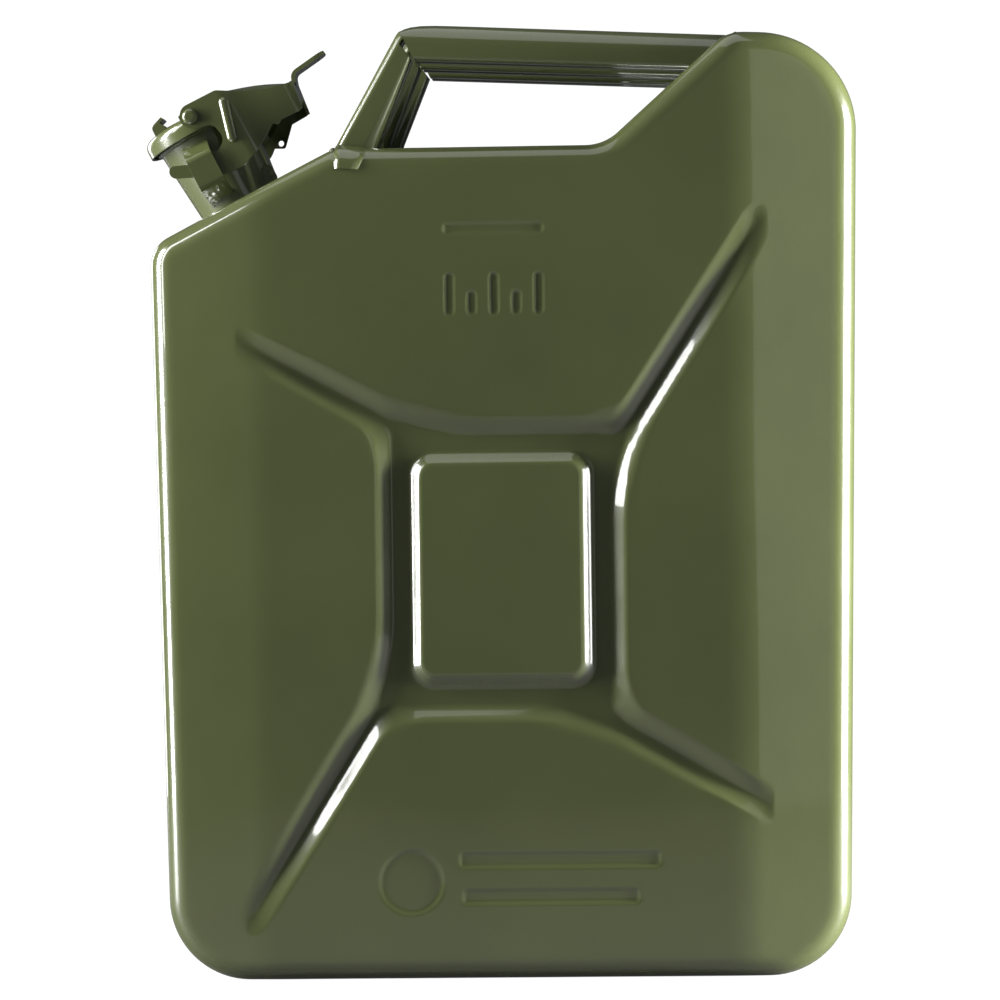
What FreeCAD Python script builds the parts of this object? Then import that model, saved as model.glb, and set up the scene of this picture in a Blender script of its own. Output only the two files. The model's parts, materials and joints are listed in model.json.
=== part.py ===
import FreeCAD, Part
import math
import os
from FreeCAD import Placement, Rotation, Vector

# Twenty-litre steel jerry can, in millimetres. +Z is up, the spout is at -X and
# the broad pressed faces are at -Y (left) and +Y (right). The origin is on the
# floor, under the middle of the whole can.

# ---- can body ------------------------------------------------------------
SHEET = 1.0                 # thickness of the pressed shells
HALF_WIDTH = 176.0          # half the body's width along X, at the top
SHOULDER_HALF_WIDTH = 174.2
FOOT_HALF_WIDTH = 167.8     # the same at the bottom: the can narrows a little
HALF_DEPTH = 82.5           # half the body's depth along Y, at the middle of a face
EDGE_DEPTH = 74.0           # half the depth at the two narrow sides
SLOPE_START = 117.0         # where a broad face starts to slope back
SLOPE_ROUND = 120.0         # radius of the soft bend there
BODY_TOP = 463.6            # top of the hump behind the handles
REAR_TOP = 462.0            # the same at the rear corner
SADDLE_TOP = 409.0          # top of the body under the handles
SADDLE_START = -82.0        # where the shoulder meets it
SHOULDER_LOW = 362.4        # height of the shoulder's lower corner
EDGE_ROUND = 10.0           # rounding between a broad face and the sides
OUTLINE = (                 # side view: x, z and corner radius
    (-FOOT_HALF_WIDTH, 0.0, 40.0),
    (FOOT_HALF_WIDTH, 0.0, 40.0),
    (HALF_WIDTH, REAR_TOP, 48.0),
    (112.5, BODY_TOP, 20.0),
    (51.5, SADDLE_TOP, 24.0),
    (SADDLE_START, SADDLE_TOP, 16.0),
    (-SHOULDER_HALF_WIDTH, SHOULDER_LOW, 16.0),
)
SEAM_HALF_WIDTH = 7.5       # groove that carries the seam round the narrow sides
SEAM_DEPTH = 6.0
BEAD_HALF_WIDTH = 2.0       # weld bead on the groove's floor
BEAD_HEIGHT = 1.2

# ---- pressed pattern of a broad face -------------------------------------
PATTERN = (-1.0, 201.0)     # centre of the pattern: x, z
CHANNEL_DEPTH = 4.5
WALL_RUN = 7.0              # how far a channel's wall spreads over its depth
PAD_HALF = (42.2, 54.8)     # raised centre pad, half way up its wall: x, z
PANEL_HALF = (57.7, 70.5)   # outer wall of the channel round the pad
PAD_ROUND = 9.0
PANEL_ROUND = 14.0
ARM_HALF = 5.4              # half width of an arm, half way up its wall
ARM_TIP_DEPTH = 2.0
ARMS = (                    # start and tip of each arm, from the pattern's centre
    ((52.0, 52.0), (127.0, 168.0)),
    ((-52.0, 72.0), (-128.0, 113.5)),
    ((-52.0, -52.0), (-123.5, -168.0)),
    ((52.0, -72.0), (128.5, -116.0)),
)
MARK_DEPTH = 0.5
FILL_LINE = (-3.0, 368.5, 49.0, 5.0)              # x, z, width, height
SCALE_TICKS = ((-25.0, 20.0), (-14.0, 11.0), (-3.0, 20.0), (8.0, 11.0), (19.0, 20.0))
TICK_WIDTH = 4.5
TICK_BASE = 326.5
DISC = (-47.0, 48.0, 15.5)                        # x, z, radius
PLATE_LINES = ((26.0, 58.5, 98.0, 6.5), (21.5, 40.5, 86.0, 6.5))

# ---- neck frame: x up the shoulder, z along the neck ---------------------
SHOULDER_RISE = (SADDLE_TOP - SHOULDER_LOW) / (SADDLE_START + SHOULDER_HALF_WIDTH)
NECK_TILT = math.degrees(math.atan(SHOULDER_RISE))
NECK_X = -133.0
NECK_BASE = (NECK_X, SHOULDER_LOW + SHOULDER_RISE * (NECK_X + SHOULDER_HALF_WIDTH))
NECK_RADIUS = 21.5          # at its foot
MOUTH_RADIUS = 25.2         # it flares towards the cap
FLARE_LOW = 5.0             # where the flare starts
FLARE_ROUND = 6.0
NECK_WALL = 1.5
NECK_HEIGHT = 46.0
LIP_RADIUS = 27.0
NECK_PAD = 34.0             # half length of the ungrooved stretch under the neck
NECK_WELD = 3.5
TUBE_RADIUS = 4.5           # breather tube
TUBE_WALL = 0.8
TUBE_BEND = 16.0
TUBE_DROP = -14.0
TUBE_END = 84.0

# ---- cap, in the neck frame ----------------------------------------------
CAP_RADIUS = 30.5
CAP_LOW = 44.0
CAP_TOP = 53.0
CAP_SHEET = 1.2
CAP_ROUND = 4.5
GASKET_GAP = 0.2
GASKET_THICKNESS = 3.6
GASKET_RADIUS = 29.1
HUB_RADIUS = 8.0
RETAINER_RADIUS = 15.5
RETAINER_SHEET = 1.4
CAP_RIVET_RADIUS = 3.0
RIVET_DOME = 2.4            # height of a rivet's domed head
RIVET_CLENCH = 1.6          # height of the cap rivet's inner head
BRACKET_SHEET = 1.5
BRACKET_HALF = 12.0         # half width of the bracket's strip on the cap
BRACKET_REAR = 20.0
STOP_FRONT = -22.7          # upturned stop at the front of the bracket
STOP_TOP = 61.0
STOP_HALF = 9.0
STOP_SIDE = (               # folded sides of the stop: x, z, corner radius
    (-22.7, 53.5, 0.0),
    (-22.7, 58.4, 2.5),
    (-17.6, 58.8, 1.8),
    (-15.4, 53.5, 0.0),
)
EAR_GAP = 0.7               # between the cap's skirt and an ear
EAR_RADIUS = 5.5
RUNNING = 0.06              # radial clearance of a pin that turns in its hole

# ---- hinge at the back of the cap ----------------------------------------
HINGE = (34.5, 40.5)
HINGE_PIN_RADIUS = 2.0
KNUCKLE_RADIUS = 4.0
KNUCKLE_HALF = 8.7
KNUCKLE_TOP = 49.0          # where its web meets the cap's skirt
HINGE_EAR = 2.0
HINGE_SIDE_GAP = 0.3
HINGE_HEAD = 1.2            # thickness and overhang of the pin's heads
FORK_BASE = (17.0, 27.5, 27.5, 38.0)              # x from, x to, z from, z to

# ---- lever, in the neck frame --------------------------------------------
PIVOT = (-0.9, 51.5)
PIVOT_RADIUS = 2.5
RIVET_HEAD = 4.0
LEVER_SHEET = 1.6
LEVER_GAP = 0.3             # between an ear and a cheek
WEB_FRONT = (18.0, 58.5)
WEB_REAR = (52.0, 45.5)
WEB_CHAMFER = 3.0
WEB_SKIRT = 8.0             # how far its folded edges reach down
SCALLOP = (61.2, 117.8, 76.0)                     # x, z and radius of the dip in the web's edges
CHEEK = (                                         # x, z and corner radius
    (-7.6, 57.6, 5.5),
    (17.4, 56.6, 3.0),
    (34.0, 49.6, 0.0),
    (51.2, 43.2, 2.0),
    (49.8, 29.9, 2.0),
    (38.5, 29.9, 1.5),
    (36.2, 27.9, 1.0),
    (33.7, 30.2, 1.0),
    (22.0, 21.0, 10.0),
    (11.0, 17.0, 8.0),
    (-1.0, 17.9, 8.0),
    (-24.6, 28.6, 3.4),
    (-21.6, 34.0, 2.4),
    (-8.0, 28.6, 12.0),
    (3.6, 29.9, 0.0),
    (9.6, 33.5, 5.0),
    (7.6, 42.6, 4.0),
    (-4.0, 45.8, 4.0),
)
SEAL_TAB = ((19.6, 26.5, 0.0), (30.6, 21.1, 1.2), (46.4, 36.6, 0.0), (30.0, 33.0, 0.0))
SEAL_HOLE = (29.9, 24.4)
SEAL_HOLE_RADIUS = 1.5
RIB = ((17.4, 50.0), (13.0, 32.6))
RIB_HALF = 2.5
RIB_HEIGHT = 1.1
FINGER_PATH = ((51.2, 44.0, 0.0), (53.2, 49.6, 3.0), (72.2, 52.1, 0.0))
FINGER_SHEET = 2.0
FINGER_HALF = 8.0
FINGER_ROUND = 5.0
FINGER_HOLE = 1.6           # radius of the hole near its tip
FINGER_HOLE_BACK = 4.0      # from the tip to the hole
BACK_LOW = 30.2             # lower edge of the plate that closes the lever's rear end

# ---- catch loops on the neck, in the neck frame --------------------------
LOOP_SHEET = 1.5
LOOP_INNER = 36.0           # inner face of a loop's outer plate, from the neck's axis
LOOP_FRONT = -13.0
LOOP_REAR = 0.6
LOOP_TOP = 31.8
LOOP_LOW = 16.2
LOOP_ROOTS = (8.0, 39.5)    # height where its two legs meet the neck
LUG = (12.0, 22.9, 4.6, 14.0)                     # seal lug: x from, x to, z from, z to
LUG_ROUND = 2.5
LUG_HOLE = (19.9, 9.4)
LUG_Y = -13.0

# ---- handles -------------------------------------------------------------
HANDLE_CENTRES = {"left_handle": -60.0, "middle_handle": 0.0, "right_handle": 60.0}
HANDLE_WIDTH = 26.0
HANDLE_SHEET = 1.5
HANDLE_ROUND = 8.0
HANDLE_SLOT = 9.0           # open seam on the underside
HANDLE_PROFILE = (          # side view of strut and grip: x, z, corner radius
    (-88.2, 394.0, 0.0),
    (-44.5, 472.3, 12.0),
    (117.0, 462.6, 0.0),
    (117.0, 444.8, 0.0),
    (-39.3, 453.6, 2.0),
    (-66.9, 394.0, 0.0),
)
HANDLE_SLOT_START = -50.0
HANDLE_SLOT_LEVELS = (438.0, 458.0)
HANDLE_NOTCH = (            # cut in each side wall where the sheet was folded
    (-44.2, 468.0, 0.0),
    (-41.5, 452.0, 0.0),
    (-36.0, 452.0, 0.0),
)
STRUT_OPENING = (           # the open back of the strut
    (-62.0, 394.0, 0.0),
    (-80.0, 380.0, 0.0),
    (-30.0, 380.0, 0.0),
    (-34.0, 452.0, 0.0),
    (-44.0, 455.0, 0.0),
)
WELD_RADIUS = 2.2
HANDLE_WELDS = ((-80.6, 409.2), (117.2, 463.0))


# ---- drawing helpers -----------------------------------------------------
def corner_arc(before, corner, after):
    """Start, middle and end of a corner's arc, or the corner alone if it is sharp."""
    point = Vector(corner[0], 0, corner[1])
    radius = corner[2]
    if radius <= 0:
        return point, None, point
    back = (Vector(before[0], 0, before[1]) - point).normalize()
    ahead = (Vector(after[0], 0, after[1]) - point).normalize()
    half = back.getAngle(ahead) / 2
    bisector = (back + ahead).normalize()
    reach = radius / math.tan(half)
    middle = point + bisector * (radius / math.sin(half) - radius)
    return point + back * reach, middle, point + ahead * reach


def rounded_wire(corners):
    """Closed outline in the XZ plane through corners of (x, z, radius)."""
    count = len(corners)
    arcs = [corner_arc(corners[i - 1], corners[i], corners[(i + 1) % count]) for i in range(count)]
    edges = []
    for i, (start, middle, end) in enumerate(arcs):
        if middle is not None:
            edges.append(Part.Arc(start, middle, end).toShape())
        following = arcs[(i + 1) % count][0]
        if (following - end).Length > 1e-6:
            edges.append(Part.LineSegment(end, following).toShape())
    return Part.Wire(edges)


def plate(corners, y_low, y_high):
    """Flat plate with an XZ outline, from y_low to y_high."""
    face = Part.Face(rounded_wire(corners))
    face.translate(Vector(0, y_low, 0))
    return face.extrude(Vector(0, y_high - y_low, 0))


def strip(path, thickness):
    """Outline corners of a sheet bent along a path of (x, z, bend radius)."""
    half = thickness / 2
    last = len(path) - 1
    points = [Vector(x, 0, z) for x, z, bend in path]
    left, right = [], []
    for i, (x, z, bend) in enumerate(path):
        before = (points[max(i, 1)] - points[max(i, 1) - 1]).normalize()
        after = (points[min(i + 1, last)] - points[min(i + 1, last) - 1]).normalize()
        normals = [Vector(-d.z, 0, d.x) for d in (before, after)]
        mitre = (normals[0] + normals[1]) * (half / (1 + normals[0].dot(normals[1])))
        inside = 1 if before.z * after.x < before.x * after.z else -1
        left.append((x + mitre.x, z + mitre.z, bend and bend - inside * half))
        right.append((x - mitre.x, z - mitre.z, bend and bend + inside * half))
    return left + right[::-1]


def box(x0, x1, y0, y1, z0, z1):
    return Part.makeBox(x1 - x0, y1 - y0, z1 - z0, Vector(x0, y0, z0))


def pin(x, z, radius, y_low, y_high):
    """Round bar along Y."""
    return Part.makeCylinder(radius, y_high - y_low, Vector(x, y_low, z), Vector(0, 1, 0))


def post(radius, z_low, z_high, x=0.0, y=0.0):
    """Round bar along Z."""
    return Part.makeCylinder(radius, z_high - z_low, Vector(x, y, z_low))


def turned(profile):
    """Solid of revolution about Z from corners of (radius, z, corner radius)."""
    return Part.Face(rounded_wire(profile)).revolve(Vector(0, 0, 0), Vector(0, 0, 1), 360)


def fused(shapes):
    return shapes[0].multiFuse(shapes[1:]).removeSplitter()


def mirrored(shape):
    """The same shape on the other side of the seam plane."""
    return shape.mirror(Vector(0, 0, 0), Vector(0, 1, 0))


def across(shape):
    """Turns a strip drawn in the XZ plane so that it is drawn in YZ and runs along X."""
    copy = shape.copy()
    copy.rotate(Vector(0, 0, 0), Vector(0, 0, 1), 90)
    return copy


def on_neck(shape):
    """Moves a shape from the neck frame to the can."""
    copy = shape.copy()
    copy.Placement = Placement(
        Vector(NECK_BASE[0], 0, NECK_BASE[1]), Rotation(Vector(0, 1, 0), -NECK_TILT)
    ).multiply(copy.Placement)
    return copy


# ---- can body ------------------------------------------------------------
def outline_prism(inset, half_depth):
    """The side outline, moved in by inset, as a prism across the can."""
    face = Part.Face(rounded_wire(OUTLINE))
    if inset:
        face = face.makeOffset2D(-inset)
    face.translate(Vector(0, -half_depth, 0))
    return face.extrude(Vector(0, 2 * half_depth, 0))


def depth_prism(inset):
    """The plan view as a prism: flat in the middle, sloping back to the sides."""
    reach = HALF_WIDTH + 10
    fall = (HALF_DEPTH - EDGE_DEPTH) / (HALF_WIDTH - SLOPE_START)
    edge = HALF_DEPTH - fall * (reach - SLOPE_START) - inset
    middle = HALF_DEPTH - inset
    front = [(-reach, -edge, 0), (-SLOPE_START, -middle, SLOPE_ROUND),
             (SLOPE_START, -middle, SLOPE_ROUND), (reach, -edge, 0)]
    back = [(x, -y, r) for x, y, r in front[::-1]]
    prism = plate(front + back, -BODY_TOP - 20, 10)
    prism.rotate(Vector(0, 0, 0), Vector(1, 0, 0), -90)
    return prism


def perimeter_edges(solid):
    """Edges where a broad face meets the narrow sides."""
    found = []
    for edge in solid.Edges:
        faces = solid.ancestorsOfType(edge, Part.Face)
        broad = [f for f in faces if abs(f.normalAt(0, 0).y) > 0.9]
        if len(broad) == 1:
            found.append(edge)
    return found


def plain_body(inset):
    """The rounded can with no groove and no pressed pattern."""
    block = outline_prism(inset, HALF_DEPTH + 5).common(depth_prism(inset)).removeSplitter()
    return block.makeFillet(EDGE_ROUND - inset, perimeter_edges(block))


def neck_pad(inset):
    """The stretch of shoulder under the neck that has no groove."""
    half = NECK_PAD - inset
    return on_neck(box(-half, half, -40, 40, -25, 25))


def outside_of(inset, half_depth):
    """Everything outside the outline moved in by inset, in a slab about the seam plane."""
    slab = box(-HALF_WIDTH - 20, HALF_WIDTH + 20, -half_depth, half_depth, -20, BODY_TOP + 20)
    return slab.cut(outline_prism(inset, half_depth + 5))


def seam_groove(inset):
    return outside_of(SEAM_DEPTH + inset, SEAM_HALF_WIDTH + inset).cut(neck_pad(inset))


def pattern_frustum(half, corner, inset, grow):
    """Block with sloping sides; half is its half size half way down the channel."""
    wires = []
    for depth in (-1.0, CHANNEL_DEPTH):
        spread = grow * ((CHANNEL_DEPTH / 2 - depth) * WALL_RUN / CHANNEL_DEPTH + 0.3 * inset)
        x, z, r = half[0] + spread, half[1] + spread, corner + spread
        wire = rounded_wire([(-x, -z, r), (x, -z, r), (x, z, r), (-x, z, r)])
        wire.translate(Vector(PATTERN[0], inset + depth - HALF_DEPTH, PATTERN[1]))
        wires.append(wire)
    return Part.makeLoft(wires, True, True)


def channel_arm(start, tip, inset):
    """One straight channel that gets shallower towards its tip."""
    along = Vector(tip[0] - start[0], 0, tip[1] - start[1]).normalize()
    side = Vector(-along.z, 0, along.x)
    sections = []
    for place, depth in ((start, CHANNEL_DEPTH), (tip, ARM_TIP_DEPTH)):
        floor = ARM_HALF - WALL_RUN / 2 + 0.3 * inset
        top = floor + (depth + 1.0) * WALL_RUN / CHANNEL_DEPTH
        middle = Vector(PATTERN[0] + place[0], inset - HALF_DEPTH, PATTERN[1] + place[1])
        low, high = Vector(0, depth, 0), Vector(0, -1.0, 0)
        ring = [side * -top + high, side * -floor + low, side * floor + low, side * top + high]
        sections.append(Part.makePolygon([middle + p for p in ring + ring[:1]]))
    return Part.makeLoft(sections, True, True)


def channels(inset):
    """All the channels pressed into the left face."""
    arms = [channel_arm(start, tip, inset) for start, tip in ARMS]
    ring = pattern_frustum(PANEL_HALF, PANEL_ROUND, inset, 1)
    pad = pattern_frustum(PAD_HALF, PAD_ROUND, inset, -1)
    return fused([ring] + arms).cut(pad)


def body_solid(inset):
    solid = plain_body(inset).cut(seam_groove(inset))
    pressed = channels(inset)
    return solid.cut(pressed).cut(mirrored(pressed))


def marks():
    """Shallow marks on the left face: fill line, scale, disc and two plain lines."""
    low, high = -HALF_DEPTH - 1, -HALF_DEPTH + MARK_DEPTH
    lines = [FILL_LINE] + list(PLATE_LINES)
    lines += [(x, TICK_BASE + tall / 2, TICK_WIDTH, tall) for x, tall in SCALE_TICKS]
    cuts = [box(x - w / 2, x + w / 2, low, high, z - h / 2, z + h / 2) for x, z, w, h in lines]
    cuts.append(pin(DISC[0], DISC[1], DISC[2], low, high))
    return Part.makeCompound(cuts)


def shells():
    """The two pressed halves, with the hole that the neck is welded into."""
    pressed = marks()
    skin = body_solid(0.0).cut(body_solid(SHEET))
    skin = skin.cut(on_neck(post(NECK_RADIUS, -20, 20)))
    skin = skin.cut(pressed).cut(mirrored(pressed))
    half = box(-HALF_WIDTH - 5, HALF_WIDTH + 5, -HALF_DEPTH - 5, 0, -5, BODY_TOP + 5)
    return {"left_shell": skin.common(half), "right_shell": skin.common(mirrored(half))}


def seam_weld():
    bead = outside_of(SEAM_DEPTH, BEAD_HALF_WIDTH)
    bead = bead.cut(outside_of(SEAM_DEPTH - BEAD_HEIGHT, BEAD_HALF_WIDTH + 1))
    return bead.cut(neck_pad(0.0))


# ---- handles -------------------------------------------------------------
def handle_block(inset):
    """Strut and grip as a solid bar, its skin moved in by inset."""
    half = HANDLE_WIDTH / 2
    face = Part.Face(rounded_wire(HANDLE_PROFILE))
    if inset:
        face = face.makeOffset2D(-inset)
    face.translate(Vector(0, inset - half, 0))
    block = face.extrude(Vector(0, 2 * (half - inset), 0))
    outer = [e for e in block.Edges if on_outer_path(e)]
    return block.makeFillet(HANDLE_ROUND - inset, outer)


def on_outer_path(edge):
    """True for the long edges of a strut's front and a grip's top."""
    mid = edge.valueAt((edge.FirstParameter + edge.LastParameter) / 2)
    low, high = edge.Vertexes[0].Point, edge.Vertexes[-1].Point
    along = abs(low.y - high.y) < 1e-6 and abs(mid.y) > 1
    path = Part.makePolygon([Vector(x, 0, z) for x, z, r in HANDLE_PROFILE[:3]])
    gap = path.distToShape(Part.Vertex(mid.x, 0, mid.z))[0]
    return along and gap < 4 * HANDLE_SHEET


def handle(centre, body):
    """One folded and rolled handle, fitted to the body under it."""
    half = HANDLE_WIDTH / 2
    slot = HANDLE_SLOT / 2
    long = 2 * HALF_WIDTH
    bar = handle_block(0.0).cut(handle_block(HANDLE_SHEET))
    bar = bar.cut(box(HANDLE_SLOT_START, long, -slot, slot, *HANDLE_SLOT_LEVELS))
    opening = plate(STRUT_OPENING, HANDLE_SHEET - half, half - HANDLE_SHEET)
    notch = plate(HANDLE_NOTCH, -half - 1, half + 1)
    bar = bar.cut(opening).cut(notch)
    bar.translate(Vector(0, centre, 0))
    pieces = bar.cut(body).Solids
    return max(pieces, key=lambda s: s.Volume)


def handle_welds(body, handles):
    """Beads at the foot of each strut and at the end of each grip."""
    beads = []
    reach = HANDLE_WIDTH / 2 - 4
    for centre in HANDLE_CENTRES.values():
        for x, z in HANDLE_WELDS:
            bead = pin(x, z, WELD_RADIUS, centre - reach, centre + reach)
            bead = bead.cut(body)
            for bar in handles:
                bead = bead.cut(bar)
            beads.append(max(bead.Solids, key=lambda s: s.Volume))
    return Part.makeCompound(beads)


# ---- neck ----------------------------------------------------------------
def filler_neck():
    inner = NECK_RADIUS - NECK_WALL
    mouth = MOUTH_RADIUS - NECK_WALL
    flange = NECK_HEIGHT - 2.5
    return turned([
        (inner, -SHEET, 0), (NECK_RADIUS, -SHEET, 0), (NECK_RADIUS, FLARE_LOW, FLARE_ROUND),
        (MOUTH_RADIUS, flange - 1, 0), (LIP_RADIUS, flange, 0.6), (LIP_RADIUS, NECK_HEIGHT, 0.8),
        (mouth, NECK_HEIGHT, 0.5), (inner, FLARE_LOW, FLARE_ROUND),
    ])


def neck_core():
    """The space inside the neck's outer skin, carried on above and below the neck."""
    low, high = -5.0, CAP_TOP
    flange = NECK_HEIGHT - 3.5
    return turned([(0, low, 0), (NECK_RADIUS, low, 0), (NECK_RADIUS, FLARE_LOW, FLARE_ROUND),
                   (MOUTH_RADIUS, flange, 0), (MOUTH_RADIUS, high, 0), (0, high, 0)])


def neck_weld():
    edge = NECK_RADIUS
    return turned([(edge, 0, 0), (edge + NECK_WELD, 0, 0), (edge, NECK_WELD, 0)])


def breather_tube():
    """Pipe down the upper side of the neck that turns along under the shoulder."""
    x = NECK_RADIUS - NECK_WALL - TUBE_RADIUS - 0.1
    turn_end = Vector(x + TUBE_BEND, 0, TUBE_DROP - TUBE_BEND)
    middle = Vector(x + TUBE_BEND * (1 - math.sqrt(0.5)), 0, TUBE_DROP - TUBE_BEND * math.sqrt(0.5))
    top, drop = Vector(x, 0, NECK_HEIGHT - 5), Vector(x, 0, TUBE_DROP)
    path = Part.Wire([
        Part.LineSegment(top, drop).toShape(),
        Part.Arc(drop, middle, turn_end).toShape(),
        Part.LineSegment(turn_end, Vector(TUBE_END, 0, turn_end.z)).toShape(),
    ])
    bars = []
    for radius in (TUBE_RADIUS, TUBE_RADIUS - TUBE_WALL):
        ring = Part.Wire(Part.makeCircle(radius, top, Vector(0, 0, 1)))
        bars.append(path.makePipeShell([ring], True, True))
    return bars[0].cut(bars[1])


def catch_loop():
    """Strap on the right side of the neck that the lever's hook passes through."""
    plate_y = LOOP_INNER + LOOP_SHEET / 2
    inside = NECK_RADIUS - 4
    path = [(inside, LOOP_ROOTS[0], 0), (plate_y, LOOP_LOW, 2.5), (plate_y, LOOP_TOP, 2.5),
            (inside, LOOP_ROOTS[1] + 2, 0)]
    strap = across(plate(strip(path, LOOP_SHEET), -LOOP_REAR, -LOOP_FRONT))
    return strap.cut(neck_core())


def hinge_bracket():
    """Fork on the back of the neck that holds the cap's hinge pin."""
    inner = KNUCKLE_HALF + HINGE_SIDE_GAP
    outer = inner + HINGE_EAR
    x, z = HINGE
    r = KNUCKLE_RADIUS + 0.5
    front, rear, low, high = FORK_BASE
    cheek = [(front, low, 0), (rear, low, 2), (x + r, z - r - 1, r), (x + r, z + r, r), (x - r, z + r, r),
             (x - r - 2, high, 4), (front, high, 0)]
    ears = [plate(cheek, inner, outer), plate(cheek, -outer, -inner)]
    base = box(front, rear, -outer, outer, low, high)
    fork = fused(ears + [base]).cut(neck_core())
    return fork.cut(pin(x, z, HINGE_PIN_RADIUS, -outer, outer))


def hinge_pin():
    outer = KNUCKLE_HALF + HINGE_SIDE_GAP + HINGE_EAR
    x, z = HINGE
    head = HINGE_PIN_RADIUS + HINGE_HEAD
    heads = [pin(x, z, head, outer, outer + HINGE_HEAD), pin(x, z, head, -outer - HINGE_HEAD, -outer)]
    return fused([pin(x, z, HINGE_PIN_RADIUS, -outer, outer)] + heads)


def seal_lug():
    """Small drilled plate beside the neck for a seal wire."""
    x0, x1, z0, z1 = LUG
    low = LUG_Y - LOOP_SHEET
    lug = plate([(x0, z0, 0), (x1, z0, LUG_ROUND), (x1, z1, LUG_ROUND), (x0, z1, 0)], low, LUG_Y)
    lug = lug.cut(neck_core())
    return lug.cut(pin(LUG_HOLE[0], LUG_HOLE[1], SEAL_HOLE_RADIUS, low - 1, LUG_Y + 1))


# ---- cap -----------------------------------------------------------------
def cap_shell():
    wall = CAP_RADIUS - CAP_SHEET
    roof = CAP_TOP - CAP_SHEET
    cup = turned([
        (0, CAP_TOP, 0), (CAP_RADIUS, CAP_TOP, CAP_ROUND), (CAP_RADIUS, CAP_LOW, 0.4),
        (wall, CAP_LOW, 0.4), (wall, roof, CAP_ROUND - CAP_SHEET), (0, roof, 0),
    ])
    return cup.cut(post(CAP_RIVET_RADIUS, 0, 80))


def cap_gasket():
    low = NECK_HEIGHT + GASKET_GAP
    high = low + GASKET_THICKNESS
    return turned([(HUB_RADIUS, low, 0), (GASKET_RADIUS, low, 1.2), (GASKET_RADIUS, high, 1.2),
                   (HUB_RADIUS, high, 0)])


def gasket_retainer():
    high = NECK_HEIGHT + GASKET_GAP
    low = high - RETAINER_SHEET
    roof = CAP_TOP - CAP_SHEET
    return turned([
        (CAP_RIVET_RADIUS, low, 0), (RETAINER_RADIUS, low, 0.6), (RETAINER_RADIUS, high, 0),
        (HUB_RADIUS, high, 0), (HUB_RADIUS, roof, 0), (CAP_RIVET_RADIUS, roof, 0),
    ])


def cap_rivet():
    """Clenches the retainer, the cap and the bracket together."""
    low = NECK_HEIGHT + GASKET_GAP - RETAINER_SHEET
    high = CAP_TOP + BRACKET_SHEET
    bottom, top = low - RIVET_CLENCH, high + RIVET_DOME
    r = CAP_RIVET_RADIUS
    head = 2 * r
    return turned([
        (0, bottom, 0), (head, bottom, 1.2), (head, low, 0), (r, low, 0), (r, high, 0),
        (head, high, 0), (head, top, 2.0), (0, top, 0),
    ])


def ear_faces():
    """Inner and outer face of a bracket ear, from the middle."""
    inner = CAP_RADIUS + EAR_GAP
    return inner, inner + BRACKET_SHEET


def cap_bracket():
    """Strap on top of the cap with the lever's two ears and the front stop."""
    inner, outer = ear_faces()
    top = CAP_TOP + BRACKET_SHEET
    x, z = PIVOT
    strap = box(STOP_FRONT + 0.4, BRACKET_REAR, -BRACKET_HALF, BRACKET_HALF, CAP_TOP, top)
    wings = box(x - EAR_RADIUS, x + EAR_RADIUS, -outer, outer, CAP_TOP, top)
    middle = BRACKET_SHEET / 2
    stop_path = [(STOP_FRONT + 3.0, CAP_TOP + middle, 0), (STOP_FRONT + middle, CAP_TOP + middle, 2.0),
                 (STOP_FRONT + middle, STOP_TOP - 3.0, 2.0), (STOP_FRONT + 7.0, STOP_TOP - middle, 0)]
    stop = plate(strip(stop_path, BRACKET_SHEET), -STOP_HALF, STOP_HALF)
    side = plate(STOP_SIDE, STOP_HALF - BRACKET_SHEET, STOP_HALF)
    ears = []
    for low, high in ((inner, outer), (-outer, -inner)):
        root = box(x - EAR_RADIUS, x + EAR_RADIUS, low, high, z, top)
        ears.append(fused([pin(x, z, EAR_RADIUS, low, high), root]))
    whole = fused([strap, wings, stop, side, mirrored(side)] + ears)
    whole = whole.cut(pin(x, z, PIVOT_RADIUS + RUNNING, -outer - 1, outer + 1))
    return whole.cut(post(CAP_RIVET_RADIUS, 0, 80))


def cap_hinge_lug():
    """Knuckle on the back of the cap's skirt."""
    x, z = HINGE
    barrel = pin(x, z, KNUCKLE_RADIUS, -KNUCKLE_HALF, KNUCKLE_HALF)
    web = box(x - 2 * KNUCKLE_RADIUS, x - 1, -KNUCKLE_HALF, KNUCKLE_HALF, z + 0.8, KNUCKLE_TOP)
    lug = fused([barrel, web]).cut(post(CAP_RADIUS, 0, 80))
    return lug.cut(pin(x, z, HINGE_PIN_RADIUS + RUNNING, -KNUCKLE_HALF, KNUCKLE_HALF))


# ---- lever ---------------------------------------------------------------
def cheek_faces():
    """Inner and outer face of a lever cheek, from the middle."""
    inner = ear_faces()[1] + LEVER_GAP
    return inner, inner + LEVER_SHEET


def lever_web():
    """Top sheet between the cheeks, with folded-down edges."""
    outer = cheek_faces()[1]
    side = outer - LEVER_SHEET / 2
    shallow = side - WEB_CHAMFER - 0.5
    low = -LEVER_SHEET / 2
    path = [(-side, -WEB_SKIRT, 0), (-side, low - WEB_CHAMFER, 2.0), (-shallow, low, 3.0),
            (shallow, low, 3.0), (side, low - WEB_CHAMFER, 2.0), (side, -WEB_SKIRT, 0)]
    length = math.dist(WEB_FRONT, WEB_REAR)
    slope = math.degrees(math.atan2(WEB_FRONT[1] - WEB_REAR[1], WEB_REAR[0] - WEB_FRONT[0]))
    web = across(plate(strip(path, LEVER_SHEET), -length, 0))
    web.rotate(Vector(0, 0, 0), Vector(0, 1, 0), slope)
    web.translate(Vector(WEB_FRONT[0], 0, WEB_FRONT[1]))
    return web


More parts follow.
